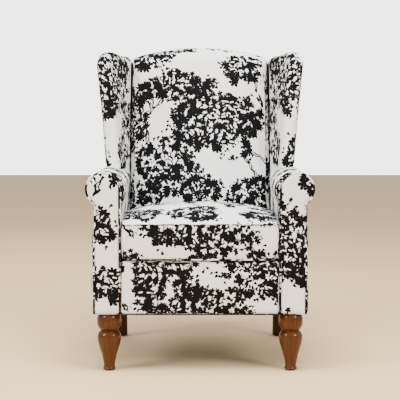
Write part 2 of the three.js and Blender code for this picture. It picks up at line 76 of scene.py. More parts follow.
ARM_IN = arm_low[0]
ARM_RADIUS = (arm_high[0] - arm_low[0]) / 2
ARM_X = ARM_IN + ARM_RADIUS
ARM_Z = arm_high[2] - ARM_RADIUS
ARM_OUT = panel_low[0] - 0.0003
NECK_RADIUS = 0.012
BODY_FOOT = panel_low[2]
COVER_FRONT = arm_low[1]
BACK_LOW_Y = back_low[1]
LUMBAR_Z = 0.5  # the inside back is upright below this height
INSIDE_RAKE = 0.255
KNEE_Z = 0.38  # the outside back is upright below this height
OUTSIDE_RAKE = 0.1431
OUTSIDE_LOW_Y = panel_high[1] - OUTSIDE_RAKE * (panel_high[2] - KNEE_Z) + 0.009
OUTSIDE_THICK = 0.0087
BACK_HALF = back_high[0]
BACK_ARCH = 0.033
POST_DEPTH = 0.035


def inside_line(z):
    """Depth of the inside back's face at a height."""
    return BACK_LOW_Y + max(0.0, z - LUMBAR_Z) * INSIDE_RAKE


def outside_line(z):
    """Depth of the outside back's outer face at a height."""
    return OUTSIDE_LOW_Y + max(0.0, z - KNEE_Z) * OUTSIDE_RAKE


def frame_back_line(z):
    """Depth of the rear of the wooden back at a height."""
    return outside_line(z) - OUTSIDE_THICK - 0.0003


def neck_height():
    """Height at which the underside of an arm's roll meets its outside face."""
    reach = ARM_OUT + NECK_RADIUS - ARM_X
    return ARM_Z - math.sqrt((ARM_RADIUS + NECK_RADIUS) ** 2 - reach**2)


def mix(a, b, share):
    return a + (b - a) * share


def smooth(share):
    """0 to 1 with level ends."""
    share = min(1.0, max(0.0, share))
    return share * share * (3 - 2 * share)


def hump(share):
    """0 at both ends of the way and 1 in the middle."""
    return max(0.0, math.sin(math.pi * min(1.0, max(0.0, share))))


# ---- One repeat of the print, in metres ----
REPEAT = 0.66
CLUMPS = (
    (0.1, 0.575, 0.1, 0.035),
    (0.175, 0.465, 0.135, 0.055),
    (0.44, 0.535, 0.075, 0.055),
    (0.335, 0.33, 0.17, 0.115),
    (0.13, 0.185, 0.13, 0.075),
    (0.06, 0.05, 0.085, 0.075),
    (0.475, 0.065, 0.09, 0.065),
    (0.27, 0.075, 0.09, 0.055),
    (0.035, 0.355, 0.045, 0.1),
    (0.595, 0.285, 0.055, 0.13),
    (0.59, 0.475, 0.055, 0.075),
)  # place and half size of each clump of leaves
LIMBS = (
    ((0.07, 0.36), (0.16, 0.45)),
    ((0.09, 0.39), (0.04, 0.47)),
    ((0.07, 0.36), (0.09, 0.23)),
    ((0.2, 0.2), (0.3, 0.1)),
    ((0.3, 0.44), (0.24, 0.38)),
    ((0.43, 0.22), (0.5, 0.1)),
    ((0.52, 0.38), (0.47, 0.5)),
    ((0.53, 0.19), (0.44, 0.26)),
)  # ends of each bough


LEAVES = (
    ((5.0, 3.0, 0.0), 28.0, 0.66, 7.0, 1.25, 0.97, 0.04),
    ((2.3, 7.1, 0.0), 32.0, 0.66, 7.0, 1.5, 0.95, 0.07),
    ((8.2, 1.4, 0.0), 46.0, 0.58, 5.0, 1.4, 0.85, -0.05),
    ((3.7, 4.9, 0.0), 66.0, 0.56, 3.0, 1.8, 0.5, -0.16),
)  # offset, scale, reach, lobes, slimness, share and depth in its clump of each layer of leaves
BARE_LEAVES = (
    ((6.1, 6.3, 0.0), 44.0, 0.5, 5.0, 1.9, 0.36, 0.26),
    ((9.4, 2.6, 0.0), 66.0, 0.54, 2.0, 2.3, 0.4, 0.24),
)
CUTS = {
    "seat_cushion": (0.08, 0.4),
    "seat_cushion_top": (0.48, 0.36),
    "inside_back": (0.275, -0.48),
    "outside_back": (1.17, 0.33),
    "wing_right": (0.05, 0.02),
    "wing_left": (0.02, 0.035),
    "arm_right": (0.1, 0.75),
    "arm_left": (1.45, 0.2),
    "outside_arm_right": (0.4, 0.9),
    "outside_arm_left": (1.9, 0.35),
    "facing_right": (0.04, 0.58),
    "facing_left": (0.12, 0.245),
    "apron": (0.1, 0.64),
}  # where on the printed cloth each piece is cut
PIPING_CUT = 0.4  # and the strips that cover the piping
RAGGED = 0.24  # most that a clump's edge wanders, against its half size
LEAF_EDGE = 0.015
BOUGH_SWAY = 0.05
BOUGH_RADIUS = 0.0052
BOUGH_LINE = 0.0021  # half the width of the line down each side of a bough
BOUGH_EDGE = 0.0007


# ---- Settings ----
class ClothSettings(PropertyGroup):
    ground: FloatVectorProperty(
        name="Ground", description="Colour of the linen", subtype="COLOR", size=3, default=(0.86, 0.84, 0.825)
    )
    ink: FloatVectorProperty(
        name="Ink", description="Colour of the print", subtype="COLOR", size=3, default=(0.001, 0.001, 0.0011)
    )
    canopy: FloatProperty(
        name="Canopy Size", description="Reach of the clumps of leaves, against their drawn size", default=1.0
    )
    cushion_swell: FloatProperty(
        name="Cushion Swell", description="Most that the cushion's cloth swells", unit="LENGTH", default=0.024
    )
    pressure: FloatProperty(name="Pressure", description="Air pressure that fills a cushion", default=4.0)
    welt: FloatProperty(name="Welt Radius", description="Radius of the piping", unit="LENGTH", default=0.0031)
    panel_puff: FloatProperty(
        name="Panel Puff", description="Swell of the outside panels", unit="LENGTH", default=0.004
    )


class WoodSettings(PropertyGroup):
    stain: FloatVectorProperty(
        name="Stain",
        description="Colour of the legs",
        subtype="COLOR",
        size=3,
        default=(0.088, 0.0222, 0.0012),
    )
    dark: FloatVectorProperty(
        name="Dark Grain",
        description="Colour of the grain",
        subtype="COLOR",
        size=3,
        default=(0.06, 0.0142, 0.001),
    )
    leg_segments: IntProperty(name="Segments", description="Sides of a turned leg", default=64)


class StageSettings(PropertyGroup):
    floor: FloatVectorProperty(
        name="Floor", description="Colour of the floor", subtype="COLOR", size=3, default=(0.8, 0.575, 0.325)
    )
    distance: FloatProperty(
        name="Distance", description="From the camera to the middle of the chair", unit="LENGTH", default=4.33
    )
    height: FloatProperty(name="Height", description="Height of the camera", unit="LENGTH", default=0.85)
    lens: FloatProperty(name="Lens", description="Focal length in millimetres", default=110.7)
    tilt: FloatProperty(
        name="Tilt", description="How far the camera looks down", subtype="ANGLE", default=math.radians(4.15)
    )


# ---- Node trees ----
class Graph:
    """Adds nodes to a tree. What feeds a node is a number, a colour or another node's socket."""

    def __init__(self, tree):
        self.tree = tree

    def feed(self, socket, value):
        if isinstance(value, bpy.types.NodeSocket):
            self.tree.links.new(value, socket)
        else:
            socket.default_value = value

    def node(self, kind, feeds=None, **settings):
        node = self.tree.nodes.new(kind)
        for name, value in settings.items():
            setattr(node, name, value)
        for name, value in (feeds or {}).items():
            self.feed(node.inputs[name], value)
        return node

    def math(self, operation, *values, clamp=False):
        node = self.node("ShaderNodeMath", operation=operation, use_clamp=clamp)
        for socket, value in zip(node.inputs, values):
            self.feed(socket, value)
        return node.outputs[0]

    def vector(self, operation, *values):
        node = self.node("ShaderNodeVectorMath", operation=operation)
        for socket, value in zip(node.inputs, values):
            self.feed(socket, value)
        return node.outputs["Value" if operation in {"LENGTH", "DOT_PRODUCT"} else "Vector"]

    def repeated(self, away):
        """Wraps a distance on the cloth to the nearest repeat of the print."""
        half = REPEAT / 2
        return self.vector("WRAP", away, (half, half, 1.0), (-half, -half, -1.0))

    def scaled(self, vector, scale):
        node = self.node("ShaderNodeVectorMath", operation="SCALE")
        self.feed(node.inputs["Vector"], vector)
        self.feed(node.inputs["Scale"], scale)
        return node.outputs["Vector"]

    def parts(self, vector):
        return self.node("ShaderNodeSeparateXYZ", {"Vector": vector}).outputs

    def joined(self, x, y, z=0.0):
        return self.node("ShaderNodeCombineXYZ", {"X": x, "Y": y, "Z": z}).outputs[0]

    def noise(self, vector, scale, detail=2.0, dimensions="3D"):
        feeds = {"Vector": vector, "Scale": scale, "Detail": detail, "Roughness": 0.5}
        return self.node("ShaderNodeTexNoise", feeds, noise_dimensions=dimensions)

    def colour_mix(self, share, a, b, blend="MIX"):
        node = self.node("ShaderNodeMix", data_type="RGBA", blend_type=blend)
        self.feed(node.inputs[0], share)
        self.feed(node.inputs[6], a)
        self.feed(node.inputs[7], b)
        return node.outputs[2]

    def spread(self, value, low, high, to_low=0.0, to_high=1.0):
        feeds = {"Value": value, "From Min": low, "From Max": high, "To Min": to_low, "To Max": to_high}
        return self.node("ShaderNodeMapRange", feeds).outputs["Result"]

    def group(self, tree, feeds):
        node = self.node("ShaderNodeGroup", node_tree=tree)
        for name, value in feeds.items():
            self.feed(node.inputs[name], value)
        return node.outputs


def node_group(name, inputs, outputs, build):
    """A node group with named sockets. build gets a Graph and the inputs, and returns the outputs."""
    tree = bpy.data.node_groups.get(name)
    if tree:
        return tree
    tree = bpy.data.node_groups.new(name, "ShaderNodeTree")
    for label, kind, default in inputs:
        socket = tree.interface.new_socket(label, in_out="INPUT", socket_type=kind)
        if default is not None:
            socket.default_value = default
    for label, kind in outputs:
        tree.interface.new_socket(label, in_out="OUTPUT", socket_type=kind)
    start = tree.nodes.new("NodeGroupInput").outputs
    end = tree.nodes.new("NodeGroupOutput").inputs
    for label, socket in build(Graph(tree), start).items():
        tree.links.new(socket, end[label])
    return tree


VECTOR = "NodeSocketVector"
FLOAT = "NodeSocketFloat"


def canopy_group():
    """How far inside a clump of leaves a place on the cloth is: 1 in its middle, 0 at its edge."""

    def build(graph, inputs):
        place = inputs["Vector"]
        nearest = 9.0
        for x, y, reach_x, reach_y in CLUMPS:
            away = graph.repeated(graph.vector("SUBTRACT", place, (x, y, 0.0)))
            away = graph.vector("LENGTH", graph.vector("DIVIDE", away, (reach_x, reach_y, 1.0)))
            nearest = graph.math("MINIMUM", away, nearest)
        ragged = graph.noise(place, 17.0, dimensions="2D").outputs["Fac"]
        ragged = graph.spread(ragged, 0.3, 0.7, -RAGGED, RAGGED)
        cover = graph.math("SUBTRACT", inputs["Size"], nearest)
        return {"Cover": graph.math("ADD", cover, ragged)}

    return node_group("Canopy", [("Vector", VECTOR, None), ("Size", FLOAT, 1.0)], [("Cover", FLOAT)], build)


def limbs_group():
    """Distance from the nearest bough between two clumps."""

    def build(graph, inputs):
        sway = graph.noise(inputs["Vector"], 16.0, dimensions="2D").outputs["Color"]
        sway = graph.scaled(graph.vector("SUBTRACT", sway, (0.5, 0.5, 0.5)), BOUGH_SWAY)
        place = graph.vector("ADD", inputs["Vector"], sway)
        nearest = 9.0
        for start_at, end_at in LIMBS:
            run = Vector((end_at[0] - start_at[0], end_at[1] - start_at[1], 0.0))
            middle = Vector((*start_at, 0.0)) + run / 2
            away = graph.repeated(graph.vector("SUBTRACT", place, middle))
            share = graph.vector("DOT_PRODUCT", away, run / run.length_squared)
            share = graph.math("MINIMUM", graph.math("MAXIMUM", share, -0.5), 0.5)
            away = graph.vector("SUBTRACT", away, graph.scaled(run, share))
            nearest = graph.math("MINIMUM", graph.vector("LENGTH", away), nearest)
        return {"Distance": nearest}

    return node_group("Limbs", [("Vector", VECTOR, None)], [("Distance", FLOAT)], build)


def leaves_group():
    """One lobed leaf in each cell whose middle lies under the canopy, each turned its own way."""

    def build(graph, inputs):
        place = graph.scaled(inputs["Vector"], inputs["Scale"])
        cells = graph.node(
            "ShaderNodeTexVoronoi",
            {"Vector": place, "Scale": 1.0, "Randomness": 0.62},
            voronoi_dimensions="2D",
            feature="F1",
        ).outputs
        chance = graph.parts(cells["Color"])
        local = graph.vector("SUBTRACT", place, cells["Position"])
        turn = graph.math("MULTIPLY", chance["X"], math.tau)
        local = graph.node(
            "ShaderNodeVectorRotate", {"Vector": local, "Angle": turn}, rotation_type="Z_AXIS"
        ).outputs[0]
        x, y, _ = graph.parts(local)
        y = graph.math("MULTIPLY", y, inputs["Slim"])
        reach = graph.vector("LENGTH", graph.joined(x, y))
        half_lobes = graph.math("MULTIPLY", inputs["Lobes"], 0.5)
        lobe = graph.math("MULTIPLY", graph.math("ARCTAN2", y, x), half_lobes)
        lobe = graph.math("POWER", graph.math("ABSOLUTE", graph.math("COSINE", lobe)), 0.5)
        lobe = graph.spread(lobe, 0.0, 1.0, 0.36, 1.0)
        size = graph.math("MULTIPLY", inputs["Reach"], graph.spread(chance["Y"], 0.0, 1.0, 0.8, 1.15))
        leaf = graph.math("SUBTRACT", graph.math("MULTIPLY", lobe, size), reach)
        leaf = graph.spread(leaf, -LEAF_EDGE, LEAF_EDGE)
        scale = graph.joined(inputs["Scale"], inputs["Scale"], 1.0)
        middle = graph.vector("DIVIDE", cells["Position"], scale)
        middle = graph.vector("SUBTRACT", middle, inputs["Offset"])
        cover = graph.group(canopy_group(), {"Vector": middle, "Size": inputs["Size"]})["Cover"]
        under = graph.math("GREATER_THAN", cover, inputs["Depth"])
        kept = graph.math("LESS_THAN", chance["Z"], inputs["Share"])
        return {"Leaf": graph.math("MULTIPLY", leaf, graph.math("MULTIPLY", under, kept))}

    inputs = [
        ("Vector", VECTOR, None),
        ("Offset", VECTOR, None),
        ("Scale", FLOAT, 40.0),
        ("Reach", FLOAT, 0.5),
        ("Lobes", FLOAT, 5.0),
        ("Slim", FLOAT, 1.0),
        ("Share", FLOAT, 0.8),
        ("Depth", FLOAT, 0.0),
        ("Size", FLOAT, 1.0),
    ]
    return node_group("Leaves", inputs, [("Leaf", FLOAT)], build)


def foliage_group():
    """Clumps of lobed leaves with bare leaf marks in them, joined by twin-line boughs."""

    def build(graph, inputs):
        place = inputs["Vector"]
        size = inputs["Size"]

        def leaves(offset, scale, reach, lobes, slim, share, depth):
            feeds = {
                "Vector": graph.vector("ADD", place, offset),
                "Offset": offset,
                "Scale": scale,
                "Reach": reach,
                "Lobes": lobes,
                "Slim": slim,
                "Share": share,
                "Depth": depth,
                "Size": size,
            }
            return graph.group(leaves_group(), feeds)["Leaf"]

        def most(*masks):
            result = masks[0]
            for mask in masks[1:]:
                result = graph.math("MAXIMUM", result, mask)
            return result

        ink = most(*(leaves(*layer) for layer in LEAVES))
        bare = most(*(leaves(*layer) for layer in BARE_LEAVES))
        ink = graph.math("MULTIPLY", ink, graph.math("SUBTRACT", 1.0, bare))
        bough = graph.group(limbs_group(), {"Vector": place})["Distance"]
        lines = graph.math("ABSOLUTE", graph.math("SUBTRACT", bough, BOUGH_RADIUS))
        lines = graph.spread(lines, BOUGH_LINE, BOUGH_LINE + BOUGH_EDGE, 1.0, 0.0)
        bark = graph.noise(place, 330.0, detail=1.0, dimensions="2D").outputs["Fac"]
        inside = graph.math("LESS_THAN", bough, BOUGH_RADIUS)
        bark = graph.math("MULTIPLY", graph.spread(bark, 0.56, 0.6), inside)
        sprigs = graph.node(
            "ShaderNodeTexVoronoi",
            {"Vector": place, "Scale": 9.0, "Randomness": 0.9},
            voronoi_dimensions="2D",
            feature="F1",
        ).outputs
        near = graph.math("LESS_THAN", sprigs["Distance"], 0.16)
        chosen = graph.math("GREATER_THAN", graph.parts(sprigs["Color"])["Y"], 0.62)
        twigs = graph.noise(place, 95.0, detail=1.0, dimensions="2D").outputs["Fac"]
        twigs = graph.spread(twigs, 0.56, 0.58)
        sprig = graph.math("MULTIPLY", twigs, graph.math("MULTIPLY", near, chosen))
        ink = most(ink, lines, bark, sprig)
        worn = graph.noise(place, 900.0, dimensions="2D").outputs["Fac"]
        return {"Ink": graph.math("MULTIPLY", ink, graph.spread(worn, 0.2, 0.7, 0.985, 1.0), clamp=True)}

    return node_group("Foliage", [("Vector", VECTOR, None), ("Size", FLOAT, 1.0)], [("Ink", FLOAT)], build)


def weave_group():
    """Plain weave: the height of the threads, and slubs that vary in shade along them."""

    def build(graph, inputs):
        x, y, _ = graph.parts(inputs["Vector"])
        pitch = inputs["Threads"]
        across = graph.math("SINE", graph.math("MULTIPLY", x, pitch))
        along = graph.math("SINE", graph.math("MULTIPLY", y, pitch))
        threads = graph.math("MULTIPLY", across, along)
        weft = graph.noise(graph.vector("MULTIPLY", inputs["Vector"], (40.0, 900.0, 0.0)), 1.0)
        warp = graph.noise(graph.vector("MULTIPLY", inputs["Vector"], (900.0, 40.0, 0.0)), 1.0)
        slub = graph.math("ADD", weft.outputs["Fac"], warp.outputs["Fac"])
        slub = graph.spread(slub, 0.7, 1.3)
        height = graph.math("ADD", graph.math("MULTIPLY", threads, 0.5), slub)
        return {"Height": height, "Slub": slub}

    inputs = [("Vector", VECTOR, None), ("Threads", FLOAT, 5200.0)]
    return node_group("Weave", inputs, [("Height", FLOAT), ("Slub", FLOAT)], build)


def mottle_group():
    """Soft patches, 0 to 1."""

    def build(graph, inputs):
        patches = graph.noise(inputs["Vector"], inputs["Scale"], detail=3.0).outputs["Fac"]
        return {"Mottle": graph.spread(patches, 0.3, 0.7)}

    inputs = [("Vector", VECTOR, None), ("Scale", FLOAT, 14.0)]
    return node_group("Mottle", inputs, [("Mottle", FLOAT)], build)


def grain_group():
    """Long wood grain along Z, with fine pores."""

    def build(graph, inputs):
        x, y, z = graph.parts(inputs["Vector"])
        stretched = graph.joined(x, y, graph.math("MULTIPLY", z, inputs["Stretch"]))
        broad = graph.noise(stretched, inputs["Scale"], detail=3.0).outputs["Fac"]
        figure = graph.node(
            "ShaderNodeTexWave",
            {"Vector": stretched, "Scale": 22.0, "Distortion": 7.0, "Detail": 2.0, "Detail Scale": 2.0},
        ).outputs["Fac"]
        fine = graph.math("MULTIPLY", inputs["Scale"], 9.0)
        pores = graph.noise(stretched, fine).outputs["Fac"]
        grain = graph.math("ADD", graph.math("MULTIPLY", broad, 0.65), graph.math("MULTIPLY", figure, 0.35))
        return {"Grain": graph.spread(grain, 0.3, 0.75), "Pores": graph.spread(pores, 0.35, 0.65)}

    inputs = [("Vector", VECTOR, None), ("Scale", FLOAT, 60.0), ("Stretch", FLOAT, 0.12)]
    return node_group("Grain", inputs, [("Grain", FLOAT), ("Pores", FLOAT)], build)


# ---- Materials ----
def shaded(colour, share):
    return (*(share * part for part in colour), 1.0)


def opaque(colour):
    return shaded(colour, 1.0)


def new_material(name):
    """A material and its Graph, Principled shader and Object coordinates."""
    material = bpy.data.materials.new(name)
    material.use_nodes = True
    graph = Graph(material.node_tree)
    shader = material.node_tree.nodes["Principled BSDF"]
    place = graph.node("ShaderNodeTexCoord").outputs["Object"]
    return material, graph, shader, place


def bump(graph, shader, height, strength, distance):
    node = graph.node("ShaderNodeBump", {"Height": height, "Strength": strength, "Distance": distance})
    graph.feed(shader.inputs["Normal"], node.outputs["Normal"])


def printed_linen():
    """Off-white linen printed with black foliage, laid along each piece's own cloth map."""
    found = bpy.data.materials.get("printed_linen")
    if found:
        return found
    settings = bpy.context.scene.chair_cloth
    material, graph, shader, _ = new_material("printed_linen")
    place = graph.node("ShaderNodeUVMap", uv_map="Cloth").outputs["UV"]
    ink = graph.group(foliage_group(), {"Vector": place, "Size": settings.canopy})["Ink"]
    weave = graph.group(weave_group(), {"Vector": place})
    ground = graph.colour_mix(weave["Slub"], shaded(settings.ground, 0.93), shaded(settings.ground, 1.03))
    print_ink = graph.colour_mix(weave["Slub"], opaque(settings.ink), shaded(settings.ink, 2.2))
    graph.feed(shader.inputs["Base Color"], graph.colour_mix(ink, ground, print_ink))
    graph.feed(shader.inputs["Roughness"], graph.spread(ink, 0.0, 1.0, 0.95, 0.82))
    shader.inputs["Specular IOR Level"].default_value = 0.02
    bump(graph, shader, weave["Height"], 0.35, 0.0004)
    return material


def plain_cloth(name, colour, threads=5200.0):
    """Unprinted cloth on Object coordinates."""
    material, graph, shader, place = new_material(name)
    weave = graph.group(weave_group(), {"Vector": place, "Threads": threads})
    cloudy = graph.group(mottle_group(), {"Vector": place, "Scale": 14.0})["Mottle"]
    shade = graph.math("MULTIPLY", weave["Slub"], graph.spread(cloudy, 0.0, 1.0, 0.6, 1.0))
    graph.feed(shader.inputs["Base Color"], graph.colour_mix(shade, shaded(colour, 0.75), opaque(colour)))
    graph.feed(shader.inputs["Roughness"], graph.spread(shade, 0.0, 1.0, 0.95, 0.85))
    bump(graph, shader, weave["Height"], 0.3, 0.0004)
    return material


def lacquered_wood(name, depth):
    """Brown stain under a clear gloss lacquer, darker in the grain. depth scales the stain and grain down;
    below 1 it is painted shade, for legs that stand in shadow.
    """
    settings = bpy.context.scene.chair_wood
    material, graph, shader, place = new_material(name)
    grain = graph.group(grain_group(), {"Vector": place, "Scale": 70.0, "Stretch": 0.1})
    colour = graph.colour_mix(grain["Grain"], shaded(settings.dark, depth), shaded(settings.stain, depth))
    fine = graph.spread(grain["Pores"], 0.0, 1.0, 0.78, 1.0)
    shade = graph.node("ShaderNodeCombineColor", {"Red": fine, "Green": fine, "Blue": fine}).outputs[0]
    colour = graph.colour_mix(1.0, colour, shade, "MULTIPLY")
    graph.feed(shader.inputs["Base Color"], colour)
    graph.feed(shader.inputs["Roughness"], graph.spread(grain["Pores"], 0.0, 1.0, 0.34, 0.26))
    shader.inputs["Specular IOR Level"].default_value = 0.12
    shader.inputs["Coat Weight"].default_value = 0.34
    shader.inputs["Coat Roughness"].default_value = 0.1
    bump(graph, shader, grain["Pores"], 0.12, 0.0003)
    return material


def raw_timber():
    """Sawn hardwood and plywood of the hidden frame."""
    material, graph, shader, place = new_material("raw_timber")
    grain = graph.group(grain_group(), {"Vector": place, "Scale": 45.0, "Stretch": 0.3})
    colour = graph.colour_mix(grain["Grain"], (0.36, 0.22, 0.11, 1), (0.56, 0.38, 0.2, 1))
    graph.feed(shader.inputs["Base Color"], colour)
    graph.feed(shader.inputs["Roughness"], graph.spread(grain["Pores"], 0.0, 1.0, 0.85, 0.65))
    bump(graph, shader, grain["Pores"], 0.3, 0.0005)
    return material


def speckled(name, dark, light, scale, rough_low, rough_high, metallic=0.0):
    """A surface with fine mottling, for steel and plastic."""
    material, graph, shader, place = new_material(name)
    mottle = graph.group(mottle_group(), {"Vector": place, "Scale": scale})["Mottle"]
    graph.feed(shader.inputs["Base Color"], graph.colour_mix(mottle, opaque(dark), opaque(light)))
    graph.feed(shader.inputs["Roughness"], graph.spread(mottle, 0.0, 1.0, rough_high, rough_low))
    shader.inputs["Metallic"].default_value = metallic
    bump(graph, shader, mottle, 0.3, 0.0003)
    return material


def elastic_webbing():
    """Black rubberised webbing with a rib along it."""
    material, graph, shader, place = new_material("elastic_webbing")
    z = graph.parts(place)["Z"]
    rib = graph.math("SINE", graph.math("MULTIPLY", z, 1400.0))
    rib = graph.spread(rib, -1.0, 1.0)
    colour = graph.colour_mix(rib, (0.01, 0.01, 0.011, 1), (0.04, 0.04, 0.045, 1))
    graph.feed(shader.inputs["Base Color"], colour)
    graph.feed(shader.inputs["Roughness"], graph.spread(rib, 0.0, 1.0, 0.9, 0.7))
    bump(graph, shader, rib, 0.4, 0.0006)
    return material


# ---- Mesh helpers ----
def grid_box(low, high, step):
    """A closed box of even quads about a step apart."""
    mesh = bmesh.new()
    bmesh.ops.create_cube(mesh, size=1.0)
    size = Vector(high) - Vector(low)
    middle = (Vector(high) + Vector(low)) / 2
    fitted = Matrix.Translation(middle) @ Matrix.Diagonal((*size, 1))
    bmesh.ops.transform(mesh, matrix=fitted, verts=mesh.verts)
    for axis in range(3):
        cuts = max(0, round(size[axis] / step) - 1)
        if not cuts:
            continue
        edges = []
        for edge in mesh.edges:
            run = edge.verts[1].co - edge.verts[0].co
            if abs(run[axis]) > 0.99 * run.length:
                edges.append(edge)
        bmesh.ops.subdivide_edges(mesh, edges=edges, cuts=cuts, use_grid_fill=True)
    return mesh


def lay_cloth(mesh, shift, level_shift=None):
    """Cuts the cloth for a box: each face is laid flat the way it looks, from its first shape."""
    layer = mesh.loops.layers.uv.new("Cloth")
    mesh.normal_update()
    for face in mesh.faces:
        normal = face.normal
        facing = max(range(3), key=lambda axis: abs(normal[axis]))
        for loop in face.loops:
            x, y, z = loop.vert.co
            place = ((y, z), (x, z), (x, y))[facing]
            move_by = level_shift if facing == 2 and level_shift else shift
            if facing == 0 and normal.x > 0:
                place = (place[0] + 1.3, place[1] + 0.6)
            loop[layer].uv = (place[0] + move_by[0], place[1] + move_by[1])


def lay_flat(faces, layer, shift):
    """Lays the cloth over faces that look forwards or backwards."""
    for face in faces:
        for loop in face.loops:
            loop[layer].uv = (loop.vert.co.x + shift[0], loop.vert.co.z + shift[1])


def move(mesh, change):
    """Moves every vertex to where change puts it."""
    for vert in mesh.verts:
        vert.co = change(vert.co)


def relax(mesh, times):
    """Rounds the edges of a stuffed piece."""
    for _ in range(times):
        bmesh.ops.smooth_vert(
            mesh, verts=mesh.verts, factor=0.5, use_axis_x=True, use_axis_y=True, use_axis_z=True
        )


def mirrored(mesh):
    bmesh.ops.scale(mesh, vec=(-1, 1, 1), verts=mesh.verts)
    bmesh.ops.reverse_faces(mesh, faces=mesh.faces)


def chain(mesh, points):
    """A line of vertices joined by edges."""
    verts = [mesh.verts.new(point) for point in points]
    for a, b in zip(verts, verts[1:]):
        mesh.edges.new((a, b))
    return verts


def sweep_chain(mesh, rows):
    """Skins a surface by extruding the first row's chain to the place of each next row."""
    verts = chain(mesh, rows[0])
    grid = [verts]
    edges = list(mesh.edges)
    for row in rows[1:]:
        made = bmesh.ops.extrude_edge_only(mesh, edges=edges)["geom"]
        edges = [item for item in made if isinstance(item, bmesh.types.BMEdge)]
        fresh = {item for item in made if isinstance(item, bmesh.types.BMVert)}
        step = []
        for vert in verts:
            step.append(next(e.other_vert(vert) for e in vert.link_edges if e.other_vert(vert) in fresh))
        for vert, point in zip(step, row):
            vert.co = point
        edges = [e for e in edges if e.verts[0] in fresh and e.verts[1] in fresh]
        verts = step
        grid.append(verts)
    return grid


def map_grid(mesh, grid, across, along, shift):
    """Lays the cloth over a swept surface: across by arc length, along by distance."""
    layer = mesh.loops.layers.uv.new("Cloth")
    place = {}
    for r, row in enumerate(grid):
        for c, vert in enumerate(row):
            place[vert] = (across[c] + shift[0], along[r][c] + shift[1])
    for face in mesh.faces:
        for loop in face.loops:
            if loop.vert in place:
                loop[layer].uv = place[loop.vert]


def arc_lengths(points):
    """Distance along a line of points, at each of them."""
    lengths = [0.0]
    for a, b in zip(points, points[1:]):
        lengths.append(lengths[-1] + (Vector(b) - Vector(a)).length)
    return lengths


def rope(mesh, points, radius, sides=8, closed=False):
    """A round piping along a line of points, mapped to the cloth."""
    points = [Vector(point) for point in points]
    count = len(points)
    verts = list(bmesh.ops.create_circle(mesh, segments=sides, radius=radius)["verts"])
    rows = []
    reference = None
    for i, point in enumerate(points):
        before = points[i - 1] if i or closed else point
        after = points[(i + 1) % count] if i + 1 < count or closed else point
        tangent = (after - before).normalized()
        if reference is None:
            reference = tangent.orthogonal()
        reference = (reference - tangent * reference.dot(tangent)).normalized()
        side = tangent.cross(reference)
        turn = [math.tau * k / sides for k in range(sides)]
        rows.append([point + radius * (math.cos(a) * reference + math.sin(a) * side) for a in turn])
    for vert, place in zip(verts, rows[0]):
        vert.co = place
    grid = [verts]
    edges = [e for e in mesh.edges if e.verts[0] in set(verts) and e.verts[1] in set(verts)]
    for row in rows[1:]:
        made = bmesh.ops.extrude_edge_only(mesh, edges=edges)["geom"]
        fresh = {item for item in made if isinstance(item, bmesh.types.BMVert)}
        step = [next(e.other_vert(v) for e in v.link_edges if e.other_vert(v) in fresh) for v in verts]
        for vert, place in zip(step, row):
            vert.co = place
        edges = [e for e in made if isinstance(e, bmesh.types.BMEdge) and set(e.verts) <= fresh]
        verts = step
        grid.append(verts)
    if closed:
        loops = [e for e in mesh.edges if e.is_boundary]
        bmesh.ops.bridge_loops(mesh, edges=loops)
    else:
        for end in (grid[0], grid[-1]):
            bmesh.ops.contextual_create(mesh, geom=end)
    bmesh.ops.recalc_face_normals(mesh, faces=mesh.faces)
    layer = mesh.loops.layers.uv.new("Cloth")
    length = arc_lengths(points)
    for r, row in enumerate(grid):
        for c, vert in enumerate(row):
            for loop in vert.link_loops:
                loop[layer].uv = (length[r], PIPING_CUT + c / sides * math.tau * radius)
    return mesh


def piece(name, mesh, material, body, nodes=()):
    """Turns a bmesh into an object that rides on a body and stands for CAD nodes."""
    data = bpy.data.meshes.new(name)
    mesh.to_mesh(data)
    mesh.free()
    data.materials.append(material)
    data.shade_smooth()
    made = bpy.data.objects.new(name, data)
    bpy.context.scene.collection.objects.link(made)
    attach(made, body)
    if nodes:
        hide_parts(*nodes)
    return made


def printed(name, mesh, nodes=(), body=CHAIR):
    """A piece in the printed linen."""
    return piece(name, mesh, printed_linen(), body, nodes)


def subdivided(made):
    modifier = made.modifiers.new("Subdivision", "SUBSURF")
    modifier.levels = 1
    modifier.render_levels = 1


def inflate(made, pressure, cap, pins=None, frames=20):
    """Fills a closed piece with air by cloth simulation and keeps what it becomes."""
    scene = bpy.context.scene
    rest = [vert.co.copy() for vert in made.data.vertices]
    modifier = made.modifiers.new("Cloth", "CLOTH")
    cloth = modifier.settings
    cloth.quality = 6
    cloth.mass = 0.3
    cloth.use_pressure = True
    cloth.uniform_pressure_force = pressure
    cloth.effector_weights.gravity = 0.0
    cloth.tension_stiffness = 15
    cloth.compression_stiffness = 15
    cloth.shear_stiffness = 5
    cloth.bending_stiffness = 0.5
    modifier.collision_settings.use_collision = False
    if pins:
        held = made.vertex_groups.new(name="Pins")
        held.add(pins, 1.0, "REPLACE")
        cloth.vertex_group_mass = "Pins"
        cloth.pin_stiffness = 1.0
    for step in range(1, frames + 1):
        scene.frame_set(step)
    shaped = made.evaluated_get(bpy.context.evaluated_depsgraph_get()).data
    moved = [vert.co.copy() for vert in shaped.vertices]
    made.modifiers.remove(modifier)
    if pins:
        made.vertex_groups.remove(made.vertex_groups["Pins"])
    for vert, start, end in zip(made.data.vertices, rest, moved):
        step = end - start
        if step.length > cap:
            step *= cap / step.length
        vert.co = start + step
    made.data.update()
    scene.frame_set(1)


# ---- Seat cushion ----
CUSHION_CORNER = 0.014
CUSHION_SEAM = 0.114  # height of the boxing
CUSHION_CROWN = 0.056
CUSHION_SIDE_RISE = 0.024
CUSHION_INSET = 0.007  # front and rear faces inside the cover's box
CUSHION_CORNER_LIFT = 0.011
CORNER_REACH = 0.03
FINE_WELT = 0.0016
CUSHION_FOOT_WELT = 0.0022


